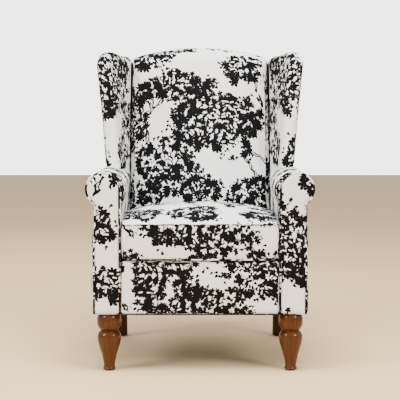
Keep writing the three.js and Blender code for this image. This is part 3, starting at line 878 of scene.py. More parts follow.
def round_plan(x, y, half_x, half_y, radius):
    """Rounds the plan of a box: moves a point of a sharp corner onto an arc."""
    over_x = abs(x) - (half_x - radius)
    over_y = abs(y) - (half_y - radius)
    if over_x <= 0 or over_y <= 0:
        return x, y
    scale = max(over_x, over_y) / math.hypot(over_x, over_y)
    x = math.copysign(half_x - radius + over_x * scale, x)
    y = math.copysign(half_y - radius + over_y * scale, y)
    return x, y


def cushion_crown(x, y, half_x, half_y):
    """Rise of the cushion's top above its front seam."""
    run = hump((y + half_y) / (2 * half_y)) ** 0.55
    swell = (1 - min(1.0, abs(x / half_x)) ** 2.2) ** 0.8
    return run * (CUSHION_SIDE_RISE + (CUSHION_CROWN - CUSHION_SIDE_RISE) * swell)


class CHAIR_OT_seat_cushion(Operator):
    """Model the loose box cushion, filled by cloth simulation between its two seams"""

    bl_idname = "chair.seat_cushion"
    bl_label = "Seat Cushion"

    def execute(self, context):
        settings = context.scene.chair_cloth
        low, high = Vector(cushion_low), Vector(cushion_high)
        half_x = high.x - 0.0015
        half_y = (high.y - low.y) / 2 - CUSHION_INSET
        middle_y = (high.y + low.y) / 2
        seam_low = low.z + 0.004
        seam_high = low.z + CUSHION_SEAM
        box_low = (-half_x, middle_y - half_y, seam_low)
        mesh = grid_box(box_low, (half_x, middle_y + half_y, seam_high), 0.0085)
        lay_cloth(mesh, CUTS["seat_cushion"], CUTS["seat_cushion_top"])

        def shape(co):
            x, y = round_plan(co.x, co.y - middle_y, half_x, half_y, CUSHION_CORNER)
            share = (co.z - seam_low) / (seam_high - seam_low)
            pull = 0.002 * (1 - hump(share))
            x *= 1 - pull / half_x
            y *= 1 - pull / half_y
            rise = cushion_crown(x, y, half_x, half_y) * smooth(share)
            corner = smooth((abs(x) - half_x + CORNER_REACH) / CORNER_REACH)
            corner *= smooth((abs(y) - half_y + CORNER_REACH) / CORNER_REACH)
            rise += CUSHION_CORNER_LIFT * corner * (1 - share)
            return Vector((x, y + middle_y, co.z + rise))

        mesh.verts.index_update()
        on_seams = []
        for vert in mesh.verts:
            at_side = abs(abs(vert.co.x) - half_x) < 1e-5 or abs(abs(vert.co.y - middle_y) - half_y) < 1e-5
            at_seam = vert.co.z < seam_low + 1e-5 or vert.co.z > seam_high - 1e-5
            if at_side and at_seam:
                on_seams.append(vert.index)
        move(mesh, shape)
        nodes = ("seat_cushion_cover", "seat_cushion_core")
        cushion = printed("seat_cushion_skin", mesh, nodes, body=CUSHION)
        seam_line = [cushion.data.vertices[i].co.copy() for i in on_seams]
        inflate(cushion, settings.pressure, settings.cushion_swell, pins=on_seams)
        limit_x = high.x - 0.0004
        for vert in cushion.data.vertices:
            limit = limit_x + 0.0034 * smooth((COVER_FRONT - 0.008 - vert.co.y) / 0.004)
            vert.co.x = min(limit, max(-limit, vert.co.x * (1.004 if vert.co.y < COVER_FRONT else 1.0)))
            vert.co.y = min(high.y, vert.co.y)
            vert.co.z = max(low.z, vert.co.z)
        subdivided(cushion)
        for label, radius in (("top", FINE_WELT), ("bottom", CUSHION_FOOT_WELT)):
            self.welt(label, seam_line, radius, middle_y, half_x, half_y)
        return {"FINISHED"}

    def welt(self, label, line, radius, middle_y, half_x, half_y):
        """Piping in the cushion's upper or lower seam, all the way round."""
        top = label == "top"
        points = [p for p in line if (p.z > cushion_low[2] + CUSHION_SEAM / 2) == top]
        points.sort(key=lambda p: math.atan2(p.y - middle_y, p.x))
        out = 0.0012
        ring = []
        for p in points:
            away = Vector((p.x / half_x, (p.y - middle_y) / half_y, 0)).normalized()
            ring.append(p + away * out)
        mesh = rope(bmesh.new(), ring, radius, closed=True)
        printed(f"cushion_{label}_seam", mesh, body=CUSHION)


# ---- Back ----
BACK_DEPTH = 0.1  # of the box that the inside back is shaped from
BACK_CROWN = 0.008
OVERHANG_Z = 1.022  # the inside back rolls over the top rail above this height
OUTSIDE_SHEET = 0.008  # thickness of the outside back
WAIST_BELOW = 0.03  # the outside back widens from the arms' width to the wings' round the neck
WAIST_RUN = 0.11
# Top and half thickness of the black sheets of painted shade in the gaps beside the wings
GAP_SHADE_TOP = 1.028
GAP_SHADE_HALF = 0.0004


def waist(z):
    """0 where the outside back is as wide as the arms' bodies, 1 where it is as wide as the wings."""
    return smooth((z - neck_height() + WAIST_BELOW) / WAIST_RUN)


def back_top(x):
    """Height of the back's arched top across the chair."""
    top = back_high[2] - 0.002
    return top - BACK_ARCH * (min(1.0, abs(x) / BACK_HALF)) ** 2


class CHAIR_OT_inside_back(Operator):
    """Model the tall padded back with its arched top, and its outside panel"""

    bl_idname = "chair.inside_back"
    bl_label = "Back"

    def execute(self, context):
        settings = context.scene.chair_cloth
        foot = back_low[2] + 0.004
        half = BACK_HALF - 0.001
        low = (-half, 0.0, foot)
        high = (half, BACK_DEPTH, back_high[2])
        mesh = grid_box(low, high, 0.0095)
        lay_cloth(mesh, CUTS["inside_back"])
        height = high[2] - foot

        def shape(co):
            z = foot + (co.z - foot) / height * (back_top(co.x) + 0.003 - foot)
            front = inside_line(z) + 0.005
            rear = frame_back_line(z) - POST_DEPTH - 0.004
            reach = smooth((z - OVERHANG_Z + 0.02) / 0.03)
            rear = mix(rear, frame_back_line(z) - 0.002, reach)
            share = co.y / BACK_DEPTH
            crown = (1 - (co.x / half) ** 2) * smooth((z - 0.42) / 0.2) * BACK_CROWN
            return Vector((co.x, mix(front - crown, rear, share), z))

        move(mesh, shape)
        relax(mesh, 5)
        back = printed("inside_back_skin", mesh, ("inside_back_cover", "back_pad"))
        inflate(back, 2.0, 0.01, frames=12)
        for vert in back.data.vertices:
            vert.co.x = min(BACK_HALF - 0.0004, max(0.0004 - BACK_HALF, vert.co.x))
            z = vert.co.z
            if z < OVERHANG_Z - 0.01:
                vert.co.y = min(vert.co.y, frame_back_line(z) - POST_DEPTH - 0.001)
            vert.co.y = max(vert.co.y, BACK_LOW_Y + 0.0006)
        subdivided(back)
        self.gap_shade_sheets()
        self.outside(settings)
        return {"FINISHED"}

    def gap_shade_sheets(self):
        """Black sheets down the posts, at the bottom of the gaps beside the wings: painted shade that darkens
        the gaps.
        """
        # Near-black cloth standing in for the deep shadow in each gap: painted shade.
        cloth = plain_cloth("gap_painted_shade", (0.012, 0.012, 0.013), 3000.0)
        low = (BACK_HALF - 0.022, -GAP_SHADE_HALF, ARM_Z - 0.04)
        high = (BACK_HALF + WING_GAP + 0.004, GAP_SHADE_HALF, GAP_SHADE_TOP)
        for label, side in SIDES.items():
            mesh = grid_box(low, high, 0.008)
            for vert in mesh.verts:
                vert.co.y += frame_back_line(vert.co.z) - POST_DEPTH - 0.0016
            if side < 0:
                mirrored(mesh)
            piece(f"gap_painted_shade_{label}", mesh, cloth, CHAIR)

    def outside(self, settings):
        low_half = rear_high[0]
        high_half = wing_rear_x() - 0.002
        foot = rear_low[2]
        mesh = grid_box((-low_half, 0.0, foot), (low_half, OUTSIDE_SHEET, back_high[2]), 0.012)
        lay_cloth(mesh, CUTS["outside_back"])
        height = back_high[2] - foot

        def shape(co):
            side = co.x / low_half
            x = side * mix(low_half, high_half, waist(co.z))
            top = back_top(x) - 0.007
            z = foot + (co.z - foot) / height * (top - foot)
            outer = outside_line(z) - 0.0004
            puff = settings.panel_puff * (1 - side**2) * hump((z - foot) / (top - foot))
            rear = outer + puff * (co.y / OUTSIDE_SHEET)
            return Vector((x, rear - OUTSIDE_SHEET - 0.0002 + co.y, z))

        move(mesh, shape)
        relax(mesh, 2)
        outside = printed("outside_back_skin", mesh, ("outside_back_panel",))
        subdivided(outside)
        self.edge_welts(settings, low_half, high_half, foot)

    def edge_welts(self, settings, low_half, high_half, foot):
        """Piping down both edges of the outside back."""
        top = back_top(BACK_HALF) - 0.03
        steps = 89
        for label, side in SIDES.items():
            points = []
            for i in range(steps + 1):
                z = mix(foot, top, i / steps)
                x = mix(low_half, high_half, waist(z)) - 0.0012
                points.append((side * x, outside_line(z) - 0.0078, z))
            mesh = rope(bmesh.new(), points, settings.welt * 0.9)
            printed(f"back_edge_welt_{label}", mesh)


# ---- Wings ----
WING_THICK = 0.05
REAR_STEPS = 5  # points along each part of a wing's plan
FACE_STEPS = 17
NOSE_STEPS = 14
OUTER_STEPS = 24
SEAM_POINT = REAR_STEPS + FACE_STEPS + NOSE_STEPS  # where the nose meets the outer face
WING_GAP = 0.0042
WING_NOSE_ROUND = 0.085  # length of the rounded front of a wing's top
WING_TOP_ROUND = 0.0225
WING_LEVELS = 42
WING_ROUND_STEPS = 7
CLEAR_OF_ARM = 12  # a level of the wing that stands clear of the arm's roll
WING_FLARE = (0.12, 0.215)  # slope of the inner face, at the arm and at the top
WING_BOW = 0.006  # of the outer face
WING_NOSE_DROP = 0.06
WING_SINK = 0.007
WING_SINK_RUN = 0.13


def wing_rear_x():
    """The outside of a wing at the back corner of the chair."""
    return post_high[0] + 0.0057


def wing_front(z):
    return wing_low[1] + 0.0005 + (z - (ARM_Z + ARM_RADIUS)) * 0.1


def wing_ring(z, inset):
    """The wing's plan at a height, from the rear of its inner face round its nose to its outer rear."""
    arm_top = ARM_Z + ARM_RADIUS
    share = (z - arm_top) / (wing_high[2] - arm_top)
    flare = mix(*WING_FLARE, share)
    in_x = BACK_HALF + WING_GAP + inset
    radius = WING_THICK / 2 - inset
    rear = frame_back_line(z) + 0.0025
    knee = inside_line(z) + 0.01
    nose_y = wing_front(z) + WING_THICK / 2
    nose_x = in_x + radius + (knee - nose_y) * flare
    lean = math.atan(flare)
    points = []
    for i in range(REAR_STEPS):
        points.append((in_x, mix(rear, knee, i / REAR_STEPS)))
    for i in range(FACE_STEPS):
        t = i / FACE_STEPS
        points.append((mix(in_x, nose_x - radius * math.cos(lean), t), mix(knee, nose_y, t)))
    for i in range(NOSE_STEPS + 1):
        turn = math.pi - lean + i * math.pi / NOSE_STEPS
        points.append((nose_x + radius * math.cos(turn), nose_y + radius * math.sin(turn)))
    last_x, last_y = points[-1]
    out_x = wing_rear_x() - inset
    for i in range(1, OUTER_STEPS + 1):
        t = i / OUTER_STEPS
        bow = 4 * t * (1 - t) * WING_BOW
        points.append((mix(last_x, out_x, t) + bow, mix(last_y, rear, t)))
    return points


def wing_top_line(y, z):
    """Height of the wing's top from front to back: rounded at its front, sinking towards the back."""
    run = y - wing_front(z)
    top = wing_high[2]
    if run < WING_NOSE_ROUND:
        return top - WING_NOSE_DROP * (1 - math.sqrt(max(0.0, 1 - (1 - run / WING_NOSE_ROUND) ** 2)))
    return top - WING_SINK * smooth((run - WING_NOSE_ROUND) / WING_SINK_RUN)


class CHAIR_OT_wings(Operator):
    """Model the two wings, each a padded slab with a thick rolled front edge and a seam behind it"""

    bl_idname = "chair.wings"
    bl_label = "Wings"

    def execute(self, context):
        for label, side in SIDES.items():
            self.wing(label, side)
        return {"FINISHED"}

    def wing(self, label, side):
        low = ARM_Z - 0.004
        rows = []
        for i in range(WING_LEVELS + WING_ROUND_STEPS):
            share = min(1.0, i / (WING_LEVELS - 1))
            turn = max(0, i - WING_LEVELS + 1) / WING_ROUND_STEPS * math.pi / 2
            inset = WING_TOP_ROUND * (1 - math.cos(turn))
            rise = WING_TOP_ROUND * math.sin(turn)
            level = mix(low, wing_high[2], share)
            row = []
            for x, y in wing_ring(level, inset):
                over = max(0.0, ARM_RADIUS**2 - (x - ARM_X) ** 2)
                foot = max(low, ARM_Z + math.sqrt(over) - 0.004)
                top = wing_top_line(y, level) - WING_TOP_ROUND
                row.append(Vector((x, y, mix(foot, top, share) + rise)))
            rows.append(row)
        mesh = bmesh.new()
        grid = sweep_chain(mesh, rows)
        across = arc_lengths(rows[CLEAR_OF_ARM])
        along = [[point.z for point in row] for row in rows]
        shift = CUTS[f"wing_{label}"]
        map_grid(mesh, grid, across, along, shift)
        rim = grid[-1]
        count = len(rim)
        for i in range(count // 2):
            j = count - 1 - i
            if j - 1 > i + 1:
                mesh.faces.new((rim[i], rim[i + 1], rim[j - 1], rim[j]))
            elif j - 1 == i + 1:
                mesh.faces.new((rim[i], rim[i + 1], rim[j]))
        self.lay_cap(mesh, shift)
        bmesh.ops.recalc_face_normals(mesh, faces=mesh.faces)
        if side < 0:
            mirrored(mesh)
        wing = printed(f"wing_skin_{label}", mesh, (f"wing_cover_{label}", f"wing_pad_{label}"))
        subdivided(wing)
        seam = []
        for row in rows[2 : WING_LEVELS - 1] + rows[WING_LEVELS : WING_LEVELS + 3]:
            seam.append(row[SEAM_POINT] + Vector((0.0006, 0.001, 0)))
        for point in seam:
            point.x *= side
        printed(f"wing_seam_{label}", rope(bmesh.new(), seam, FINE_WELT))

    def lay_cap(self, mesh, shift):
        layer = mesh.loops.layers.uv["Cloth"]
        for face in mesh.faces:
            for loop in face.loops:
                if loop[layer].uv.length == 0:
                    loop[layer].uv = (loop.vert.co.x + shift[0], loop.vert.co.y + shift[1])


# ---- Arms ----
LEAN_OUT = 0.0026
LEAN_IN = 0.002
LEAN_Z = 0.36  # the outer side is upright below this height
LEAN_RUN = 0.15
ROLL_BULGE = 0.0175  # of the roll over the seat, behind the facing
ROLL_BULGE_REACH = 0.05
COVER_STEPS = 46  # rows of an arm's cover, closer together at its front
COVER_TUCK = 0.0055
FOLD = 0.0007
FOLD_PITCH = 330.0
FACING_PUFF = 0.0055
FACING_COLUMNS = 20
BODY_ROWS = 36  # rows of a facing below its neck, round its neck and up its roll
NECK_ROWS = 14
ROLL_ROWS = 17


def lean(z):
    """How far an arm's outer side stands out at a height: out at its foot, in under the roll."""
    neck = neck_height()
    if z > neck:
        return -LEAN_IN * (1 - smooth((z - neck) / (ARM_Z - neck)))
    return mix(LEAN_OUT, -LEAN_IN, smooth((z - LEAN_Z) / LEAN_RUN))


def arm_profile(inset, foot, step=0.008):
    """Front outline of an arm from the foot of its inner face, round the roll, to its outer foot."""
    roll = ARM_RADIUS - inset
    hollow = NECK_RADIUS + inset
    reach = ARM_OUT + NECK_RADIUS - ARM_X
    theta = math.acos(reach / (ARM_RADIUS + NECK_RADIUS))
    neck = neck_height()
    points = []
    count = max(2, round((ARM_Z - foot) / step))
    for i in range(count):
        points.append((ARM_IN + inset, mix(foot, ARM_Z, i / count)))
    sweep = math.pi + theta
    count = round(sweep * roll / (0.75 * step))
    for i in range(count + 1):
        turn = math.pi - i / count * sweep
        points.append((ARM_X + roll * math.cos(turn), ARM_Z + roll * math.sin(turn)))
    count = 4
    for i in range(1, count + 1):
        turn = math.pi - theta + i / count * theta
        points.append((ARM_OUT + NECK_RADIUS + hollow * math.cos(turn), neck + hollow * math.sin(turn)))
    count = max(2, round((neck - foot) / step))
    for i in range(1, count + 1):
        points.append((ARM_OUT - inset, mix(neck, foot, i / count)))
    return [(x + lean(z) if x > ARM_X and z < ARM_Z else x, z) for x, z in points]


def facing_edges(z, inset):
    """The inner and outer edges of an arm's front outline at a height."""
    roll = ARM_RADIUS - inset
    hollow = NECK_RADIUS + inset
    neck = neck_height()
    reach = ARM_OUT + NECK_RADIUS - ARM_X
    theta = math.acos(reach / (ARM_RADIUS + NECK_RADIUS))
    left = ARM_IN + inset
    if z > ARM_Z:
        left = ARM_X - math.sqrt(max(0.0, roll**2 - (z - ARM_Z) ** 2))
    right = ARM_X + math.sqrt(max(0.0, roll**2 - (z - ARM_Z) ** 2))
    if z < neck:
        right = ARM_OUT - inset
    elif z < neck + hollow * math.sin(theta):
        right = ARM_OUT + NECK_RADIUS - math.sqrt(max(0.0, hollow**2 - (z - neck) ** 2))
    return left, right + (lean(z) if z < ARM_Z else 0.0)


class CHAIR_OT_arms(Operator):
    """Model each arm: the cover over its roll, its outside panel, its facing and the piping round it"""

    bl_idname = "chair.arms"
    bl_label = "Arms"

    def execute(self, context):
        settings = context.scene.chair_cloth
        for label, side in SIDES.items():
            self.cover(label, side)
            self.outside(label, side, settings)
            self.facing(label, side)
            self.welt(label, side, settings)
        return {"FINISHED"}

    def cover(self, label, side):
        foot = arm_low[2] + 0.001
        neck = neck_height()
        profile = [p for p in arm_profile(0.0, foot) if not (p[0] > ARM_X and p[1] < neck - 0.02)]
        lengths = arc_lengths([(x, 0, z) for x, z in profile])
        rows = []
        for i in range(COVER_STEPS + 1):
            share = (i / COVER_STEPS) ** 1.25
            row = []
            for k, (x, z) in enumerate(profile):
                rear = frame_back_line(z) - 0.0005
                y = mix(COVER_FRONT - 0.003, rear, share)
                run = y - COVER_FRONT
                away = Vector((x - ARM_X, z - ARM_Z)) if z > ARM_Z - 0.06 else Vector((-1.0, 0.0))
                away.normalize()
                roll = smooth((z - ARM_Z + 0.1) / 0.1)
                tuck = COVER_TUCK * math.exp(-max(0.0, run + 0.003) / 0.008)
                folds = FOLD * math.sin(lengths[k] * FOLD_PITCH) * math.exp(-max(0.0, run) / 0.03) * roll
                swell = 0.0016 * roll * math.sin(math.pi * min(1.0, max(0.0, run / 0.5)))
                inward = max(0.0, -away.x) * math.exp(-(((z - ARM_Z) / ROLL_BULGE_REACH) ** 2))
                fade = 1 - 0.7 * smooth(run / 0.5)
                swell += ROLL_BULGE * inward * (1 - math.exp(-max(0.0, run) / 0.02)) * fade
                grow = swell + folds - tuck
                if away.x < 0 and z < cushion_high[2] - 0.03:
                    grow = min(grow, 0.0)
                row.append(Vector((x + away.x * grow, y, z + away.y * grow)))
            rows.append(row)
        mesh = bmesh.new()
        grid = sweep_chain(mesh, rows)
        along = [[point.y for point in row] for row in rows]
        shift = CUTS[f"arm_{label}"]
        map_grid(mesh, grid, lengths, along, shift)
        roll_end = mesh.faces.new([v for v in grid[-1] if v.co.x > ARM_X or v.co.z > ARM_Z])
        lay_flat([roll_end], mesh.loops.layers.uv["Cloth"], shift)
        bmesh.ops.recalc_face_normals(mesh, faces=mesh.faces)
        if side < 0:
            mirrored(mesh)
        cover = printed(f"arm_skin_{label}", mesh, (f"arm_cover_{label}", f"arm_pad_{label}"))
        subdivided(cover)

    def outside(self, label, side, settings):
        low, high = Vector(panel_low), Vector(panel_high)
        thick = high.x - low.x
        low.y -= 0.0045
        high.z += 0.0045
        mesh = grid_box(low, high, 0.012)
        lay_cloth(mesh, CUTS[f"outside_arm_{label}"])

        def shape(co):
            share = (co.y - low.y) / (high.y - low.y)
            y = mix(low.y, frame_back_line(co.z) + 0.003, share)
            up = (co.z - low.z) / (high.z - low.z)
            puff = settings.panel_puff * hump(share) ** 0.4 * hump(up) ** 0.6
            x = co.x - 0.001 + (puff + lean(co.z)) * (co.x - low.x) / thick
            return Vector((x, y, co.z))

        move(mesh, shape)
        relax(mesh, 2)
        if side < 0:
            mirrored(mesh)
        panel = printed(f"outside_arm_skin_{label}", mesh, (f"outside_arm_panel_{label}",))
        subdivided(panel)

    def facing(self, label, side):
        """A puffed keyhole panel, skinned in rows from its foot to the top of the roll."""
        inset = facing_low[0] - ARM_IN - 0.0012
        foot = BODY_FOOT + 0.0004
        roll = ARM_RADIUS - inset
        below_neck = neck_height() - NECK_RADIUS
        heights = [mix(foot, below_neck, i / BODY_ROWS) for i in range(BODY_ROWS)]
        heights += [mix(below_neck, ARM_Z, i / NECK_ROWS) for i in range(NECK_ROWS)]
        heights += [ARM_Z + roll * math.sin(i / ROLL_ROWS * math.pi / 2) for i in range(ROLL_ROWS)]
        rows = []
        for z in heights:
            left, right = facing_edges(z, inset)
            row = []
            for k in range(FACING_COLUMNS + 1):
                x = mix(left, right, (1 - math.cos(k / FACING_COLUMNS * math.pi)) / 2)
                edge = min(x - left, right - x, z - foot, ARM_Z + roll - z)
                puff = FACING_PUFF * (1 - math.exp(-max(0.0, edge) / 0.004))
                row.append(Vector((x, facing_low[1] + 0.0035 - puff, z)))
            rows.append(row)
        mesh = bmesh.new()
        sweep_chain(mesh, rows)
        layer = mesh.loops.layers.uv.new("Cloth")
        lay_flat(mesh.faces, layer, CUTS[f"facing_{label}"])
        bmesh.ops.recalc_face_normals(mesh, faces=mesh.faces)
        if mesh.faces[:][0].normal.y > 0:
            bmesh.ops.reverse_faces(mesh, faces=mesh.faces)
        bmesh.ops.solidify(mesh, geom=mesh.faces[:], thickness=0.003)
        if side < 0:
            mirrored(mesh)
        facing = printed(f"facing_skin_{label}", mesh, (f"arm_facing_{label}",))

    def welt(self, label, side, settings):
        inset = facing_low[0] - ARM_IN - settings.welt - 0.0011
        y = facing_low[1] + settings.welt
        line = arm_profile(inset, BODY_FOOT + 0.001, step=0.006)
        points = [(side * x, y - 0.0006, z) for x, z in line]
        mesh = rope(bmesh.new(), points, settings.welt, sides=12)
        printed(f"facing_welt_{label}", mesh, (f"arm_welt_{label}",))


# ---- Apron, deck and dust cover ----
APRON_PUFF = 0.004
DECK_DIP = 0.0045
SHEET_THICK = 0.0006
SHEET_SAG = 0.0014
SHEET_MARGIN = 0.001


class CHAIR_OT_seat_base(Operator):
    """Model the front apron, the padded deck under the cushion and the dust cover underneath"""

    bl_idname = "chair.seat_base"
    bl_label = "Seat Base"

    def execute(self, context):
        self.apron()
        self.deck()
        self.dust_cover()
        return {"FINISHED"}

    def apron(self):
        low, high = Vector(apron_low), Vector(apron_high)
        mesh = grid_box(low, high, 0.0085)
        lay_cloth(mesh, CUTS["apron"])

        def shape(co):
            side = co.x / high.x
            up = (co.z - low.z) / (high.z - low.z)
            front = 1 - (co.y - low.y) / (high.y - low.y)
            puff = APRON_PUFF * (1 - side**6) * math.sin(math.pi * min(1.0, up + 0.1)) * front
            return Vector((co.x, co.y + 0.0015 * front - puff, co.z))

        move(mesh, shape)
        relax(mesh, 3)
        apron = printed("apron_skin", mesh, ("front_apron",))
        subdivided(apron)
        # A black rope along the apron's bottom front edge: a painted shadow line under the apron.
        steps = 60
        edge = [Vector((mix(-high.x, high.x, i / steps), low.y + 0.0022, low.z)) for i in range(steps + 1)]
        painted_shadow_rope = rope(bmesh.new(), edge, 0.002)
        piece("apron_shadow_line", painted_shadow_rope, plain_cloth("apron_painted_shadow", (0.015, 0.015, 0.016)), CHAIR)

    def deck(self):
        low, high = (Vector(corner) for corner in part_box("seat_deck_pad"))
        mesh = grid_box(low, high, 0.014)

        def shape(co):
            share_x = 1 - (co.x / high.x) ** 4
            share_y = hump((co.y - low.y) / (high.y - low.y)) ** 0.5
            up = (co.z - low.z) / (high.z - low.z)
            return Vector((co.x, co.y, co.z - DECK_DIP * up * share_x * share_y))

        move(mesh, shape)
        relax(mesh, 3)
        cloth = plain_cloth("deck_cloth", (0.62, 0.6, 0.56))
        deck = piece("deck_skin", mesh, cloth, CHAIR, ("seat_deck_pad",))
        subdivided(deck)

    def dust_cover(self):
        """A flat sheet stapled under the rails, sagging a little between them."""
        low, high = (Vector(corner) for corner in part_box("dust_cover"))
        mesh = bmesh.new()
        bmesh.ops.create_grid(mesh, x_segments=48, y_segments=48, size=0.5)
        half_x = high.x - SHEET_MARGIN
        half_y = (high.y - low.y) / 2 - SHEET_MARGIN
        middle = (high.y + low.y) / 2

        def shape(co):
            x, y = 2 * co.x, 2 * co.y
            sag = SHEET_SAG * (1 - x**4) * (1 - y**4)
            return Vector((x * half_x, middle + y * half_y, high.z - SHEET_THICK - sag))

        move(mesh, shape)
        bmesh.ops.recalc_face_normals(mesh, faces=mesh.faces)
        cloth = plain_cloth("cambric", (0.012, 0.012, 0.013), 3000.0)
        sheet = piece("dust_sheet", mesh, cloth, CHAIR, ("dust_cover",))
        solid = sheet.modifiers.new("Thickness", "SOLIDIFY")
        solid.thickness = SHEET_THICK


# ---- Legs ----
LEG_PROFILE = (
    (0.0197, 0.0),
    (0.0208, 0.0016),
    (0.0203, 0.0038),
    (0.0187, 0.0068),
    (0.0181, 0.0125),
    (0.0191, 0.0215),
    (0.0243, 0.046),
    (0.0319, 0.071),
    (0.0366, 0.0865),
    (0.0385, 0.0985),
    (0.0388, 0.1055),
    (0.0375, 0.1145),
    (0.0336, 0.122),
    (0.0296, 0.1265),
    (0.0272, 0.1286),
    (0.0282, 0.1305),
    (0.0324, 0.1344),
    (0.0368, 0.1412),
    (0.0394, 0.15),
    (0.04, 0.1592),
    (0.0391, 0.169),
    (0.0369, 0.1771),
    (0.0338, 0.1828),
    (0.0318, 0.1854),
)  # radius and height above the glide
REAR_FOOT_DEPTH = 0.04
REAR_TOP_DEPTH = 0.046
REAR_EDGE = 0.0022  # bevel of a rear leg's edges


class CHAIR_OT_legs(Operator):
    """Turn the two front legs and cut the two raked rear legs"""

    bl_idname = "chair.legs"
    bl_label = "Legs"

    def execute(self, context):
        settings = context.scene.chair_wood
        front_wood = lacquered_wood("lacquered_wood", 1.0)
        # The rear legs get the same wood at half brightness: painted shade, for they stand in shadow.
        shaded_rear_wood = lacquered_wood("lacquered_wood_painted_shade", 0.5)
        for label in SIDES:
            self.front(label, front_wood, settings.leg_segments)
            self.rear(label, shaded_rear_wood)
        return {"FINISHED"}

    def front(self, label, wood, segments):
        low, high = (Vector(corner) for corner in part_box(f"front_leg_{label}"))
        axis = Vector(((low.x + high.x) / 2, (low.y + high.y) / 2, low.z))
        mesh = bmesh.new()
        height = high.z - low.z
        scale = height / LEG_PROFILE[-1][1]
        points = [(0.0, 0.0), *LEG_PROFILE, (0.0, LEG_PROFILE[-1][1])]
        line = chain(mesh, [axis + Vector((r, 0, z * scale)) for r, z in self.curved(points)])
        geometry = [*line, *mesh.edges]
        bmesh.ops.spin(
            mesh, geom=geometry, cent=axis, axis=(0, 0, 1), angle=math.tau, steps=segments, use_merge=True
        )
        bmesh.ops.remove_doubles(mesh, verts=mesh.verts, dist=1e-6)
        bmesh.ops.recalc_face_normals(mesh, faces=mesh.faces)
        leg = piece(f"turned_leg_{label}", mesh, wood, CHAIR, (f"front_leg_{label}",))
        crisp(leg)

    def curved(self, points):
        """Points between the profile's points, on a smooth curve through them."""
        result = [points[0], points[1]]
        for a, b, c, d in zip(points[1:], points[2:], points[3:], points[4:]):
            for t in (0.25, 0.5, 0.75, 1.0):
                result.append(tuple(catmull(a[k], b[k], c[k], d[k], t) for k in range(2)))
            if c == points[-2]:
                break
        result.insert(2, points[2])
        result.append(points[-1])
        return result

    def rear(self, label, wood):
        low, high = (Vector(corner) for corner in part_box(f"rear_leg_{label}"))
        mesh = bmesh.new()
        bmesh.ops.create_cube(mesh, size=1.0)

        def shape(co):
            x = mix(low.x, high.x, co.x + 0.5)
            if co.z < 0:
                return Vector((x, mix(high.y - REAR_FOOT_DEPTH, high.y, co.y + 0.5), low.z))
            return Vector((x, mix(low.y, low.y + REAR_TOP_DEPTH, co.y + 0.5), high.z))

        move(mesh, shape)
        bmesh.ops.bevel(
            mesh,
            geom=mesh.edges[:],
            offset=REAR_EDGE,
            offset_type="OFFSET",
            affect="EDGES",
            segments=3,
            profile=0.5,
            material=-1,
        )
        leg = piece(f"square_leg_{label}", mesh, wood, CHAIR, (f"rear_leg_{label}",))
        crisp(leg)


def catmull(a, b, c, d, t):
    """A smooth curve through b and c."""
    return 0.5 * (2 * b + (c - a) * t + (2 * a - 5 * b + 4 * c - d) * t**2 + (3 * b - a - 3 * c + d) * t**3)


def crisp(made):
    """Smooth shading that keeps the sharp corners."""
    made.data.set_sharp_from_angle(angle=math.radians(40))


# ---- Frame finishes ----
class CHAIR_OT_frame_finishes(Operator):
    """Give the wooden frame, springs, webbing, bolts and glides their materials"""

    bl_idname = "chair.frame_finishes"
    bl_label = "Frame Finishes"

    def execute(self, context):
        timber = raw_timber()
        steel = speckled("zinc_steel", (0.3, 0.3, 0.31), (0.62, 0.63, 0.64), 300.0, 0.25, 0.45, metallic=1.0)
        plastic = speckled("glide_plastic", (0.012, 0.012, 0.013), (0.03, 0.03, 0.032), 500.0, 0.45, 0.6)
        webbing = elastic_webbing()
        finishes = {
            "rail": timber,
            "board": timber,
            "post": timber,
            "block": timber,
            "spring": steel,
            "bolt": steel,
            "glide": plastic,
            "webbing": webbing,
        }
        for name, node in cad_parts.items():
            kind = next((finish for word, finish in finishes.items() if word in name), None)
            if kind:
                node.data.materials.clear()
                node.data.materials.append(kind)
        return {"FINISHED"}


# ---- Stage ----
LIGHTS = (
    ("key", (-3.5, -2.4, 2.9), (0, 0, 0.5), 1.3, 140.0),
    ("fill", (3.0, -3.0, 2.6), (0, 0, 0.5), 1.1, 100.0),
    ("top", (0.1, -1.0, 3.3), (0, 0, 0.5), 2.0, 215.0),
    ("rear", (-1.2, 3.4, 2.6), (0, 0, 0.6), 2.0, 40.0),
)  # name, place, what it points at, size in metres and power in watts
WORLD_STRENGTH = 0.95
WORLD_SEEN = 4.0  # strength that the camera sees behind the chair


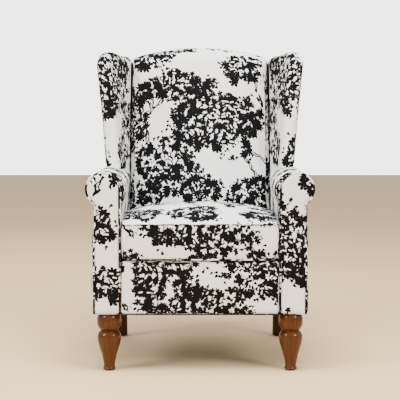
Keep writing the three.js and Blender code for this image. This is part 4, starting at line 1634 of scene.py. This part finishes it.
class CHAIR_OT_stage(Operator):
    """Set the pale floor, the soft light and the camera"""

    bl_idname = "chair.stage"
    bl_label = "Stage"

    def execute(self, context):
        settings = context.scene.chair_stage
        self.floor(settings)
        self.lights(context)
        self.camera(context, settings)
        return {"FINISHED"}

    def floor(self, settings):
        mesh = bmesh.new()
        bmesh.ops.create_grid(mesh, x_segments=1, y_segments=1, size=12.0)
        data = bpy.data.meshes.new("floor")
        mesh.to_mesh(data)
        mesh.free()
        material, graph, shader, place = new_material("pale_floor")
        pile = graph.group(mottle_group(), {"Vector": place, "Scale": 220.0})["Mottle"]
        colour = graph.colour_mix(pile, shaded(settings.floor, 0.93), opaque(settings.floor))
        graph.feed(shader.inputs["Base Color"], colour)
        shader.inputs["Roughness"].default_value = 0.95
        bump(graph, shader, pile, 0.3, 0.002)
        data.materials.append(material)
        floor = bpy.data.objects.new("floor", data)
        bpy.context.scene.collection.objects.link(floor)

    def lights(self, context):
        world = bpy.data.worlds.new("soft_world")
        world.use_nodes = True
        graph = Graph(world.node_tree)
        background = world.node_tree.nodes["Background"]
        background.inputs["Color"].default_value = (1.0, 0.99, 0.97, 1)
        seen = graph.node("ShaderNodeLightPath").outputs["Is Camera Ray"]
        graph.feed(background.inputs["Strength"], graph.spread(seen, 0.0, 1.0, WORLD_STRENGTH, WORLD_SEEN))
        context.scene.world = world
        for name, place, aim, size, power in LIGHTS:
            data = bpy.data.lights.new(name, "AREA")
            data.energy = power
            data.size = size
            light = bpy.data.objects.new(name, data)
            light.location = place
            light.rotation_euler = (Vector(aim) - Vector(place)).to_track_quat("-Z", "Y").to_euler()
            light.visible_glossy = name in ("key", "fill")
            context.scene.collection.objects.link(light)

    def camera(self, context, settings):
        data = bpy.data.cameras.new("camera")
        data.lens = settings.lens
        data.sensor_width = 36.0
        camera = bpy.data.objects.new("camera", data)
        camera.location = (0.0, -settings.distance, settings.height)
        camera.rotation_euler = (math.radians(90) - settings.tilt, 0, 0)
        context.scene.collection.objects.link(camera)
        context.scene.camera = camera


class CHAIR_PT_pieces(Panel):
    bl_label = "Wing Armchair"
    bl_idname = "CHAIR_PT_pieces"
    bl_space_type = "VIEW_3D"
    bl_region_type = "UI"
    bl_category = "Armchair"

    def draw(self, context):
        scene = context.scene
        for settings in (scene.chair_cloth, scene.chair_wood, scene.chair_stage):
            box = self.layout.box()
            for name in settings.bl_rna.properties.keys():
                if name not in {"rna_type", "name"}:
                    box.prop(settings, name)
        for operator in OPERATORS:
            self.layout.operator(operator.bl_idname)


OPERATORS = (
    CHAIR_OT_stage,
    CHAIR_OT_seat_cushion,
    CHAIR_OT_inside_back,
    CHAIR_OT_wings,
    CHAIR_OT_arms,
    CHAIR_OT_seat_base,
    CHAIR_OT_legs,
    CHAIR_OT_frame_finishes,
)
SETTINGS = {"chair_cloth": ClothSettings, "chair_wood": WoodSettings, "chair_stage": StageSettings}


def register():
    for name, settings in SETTINGS.items():
        bpy.utils.register_class(settings)
        setattr(bpy.types.Scene, name, PointerProperty(type=settings))
    for operator in OPERATORS:
        bpy.utils.register_class(operator)
    bpy.utils.register_class(CHAIR_PT_pieces)


def unregister():
    bpy.utils.unregister_class(CHAIR_PT_pieces)
    for operator in reversed(OPERATORS):
        bpy.utils.unregister_class(operator)
    for name, settings in SETTINGS.items():
        delattr(bpy.types.Scene, name)
        bpy.utils.unregister_class(settings)


def main():
    register()
    bpy.ops.chair.stage()
    bpy.ops.chair.seat_cushion()
    bpy.ops.chair.inside_back()
    bpy.ops.chair.wings()
    bpy.ops.chair.arms()
    bpy.ops.chair.seat_base()
    bpy.ops.chair.legs()
    bpy.ops.chair.frame_finishes()


if __name__ == "__main__":
    main()
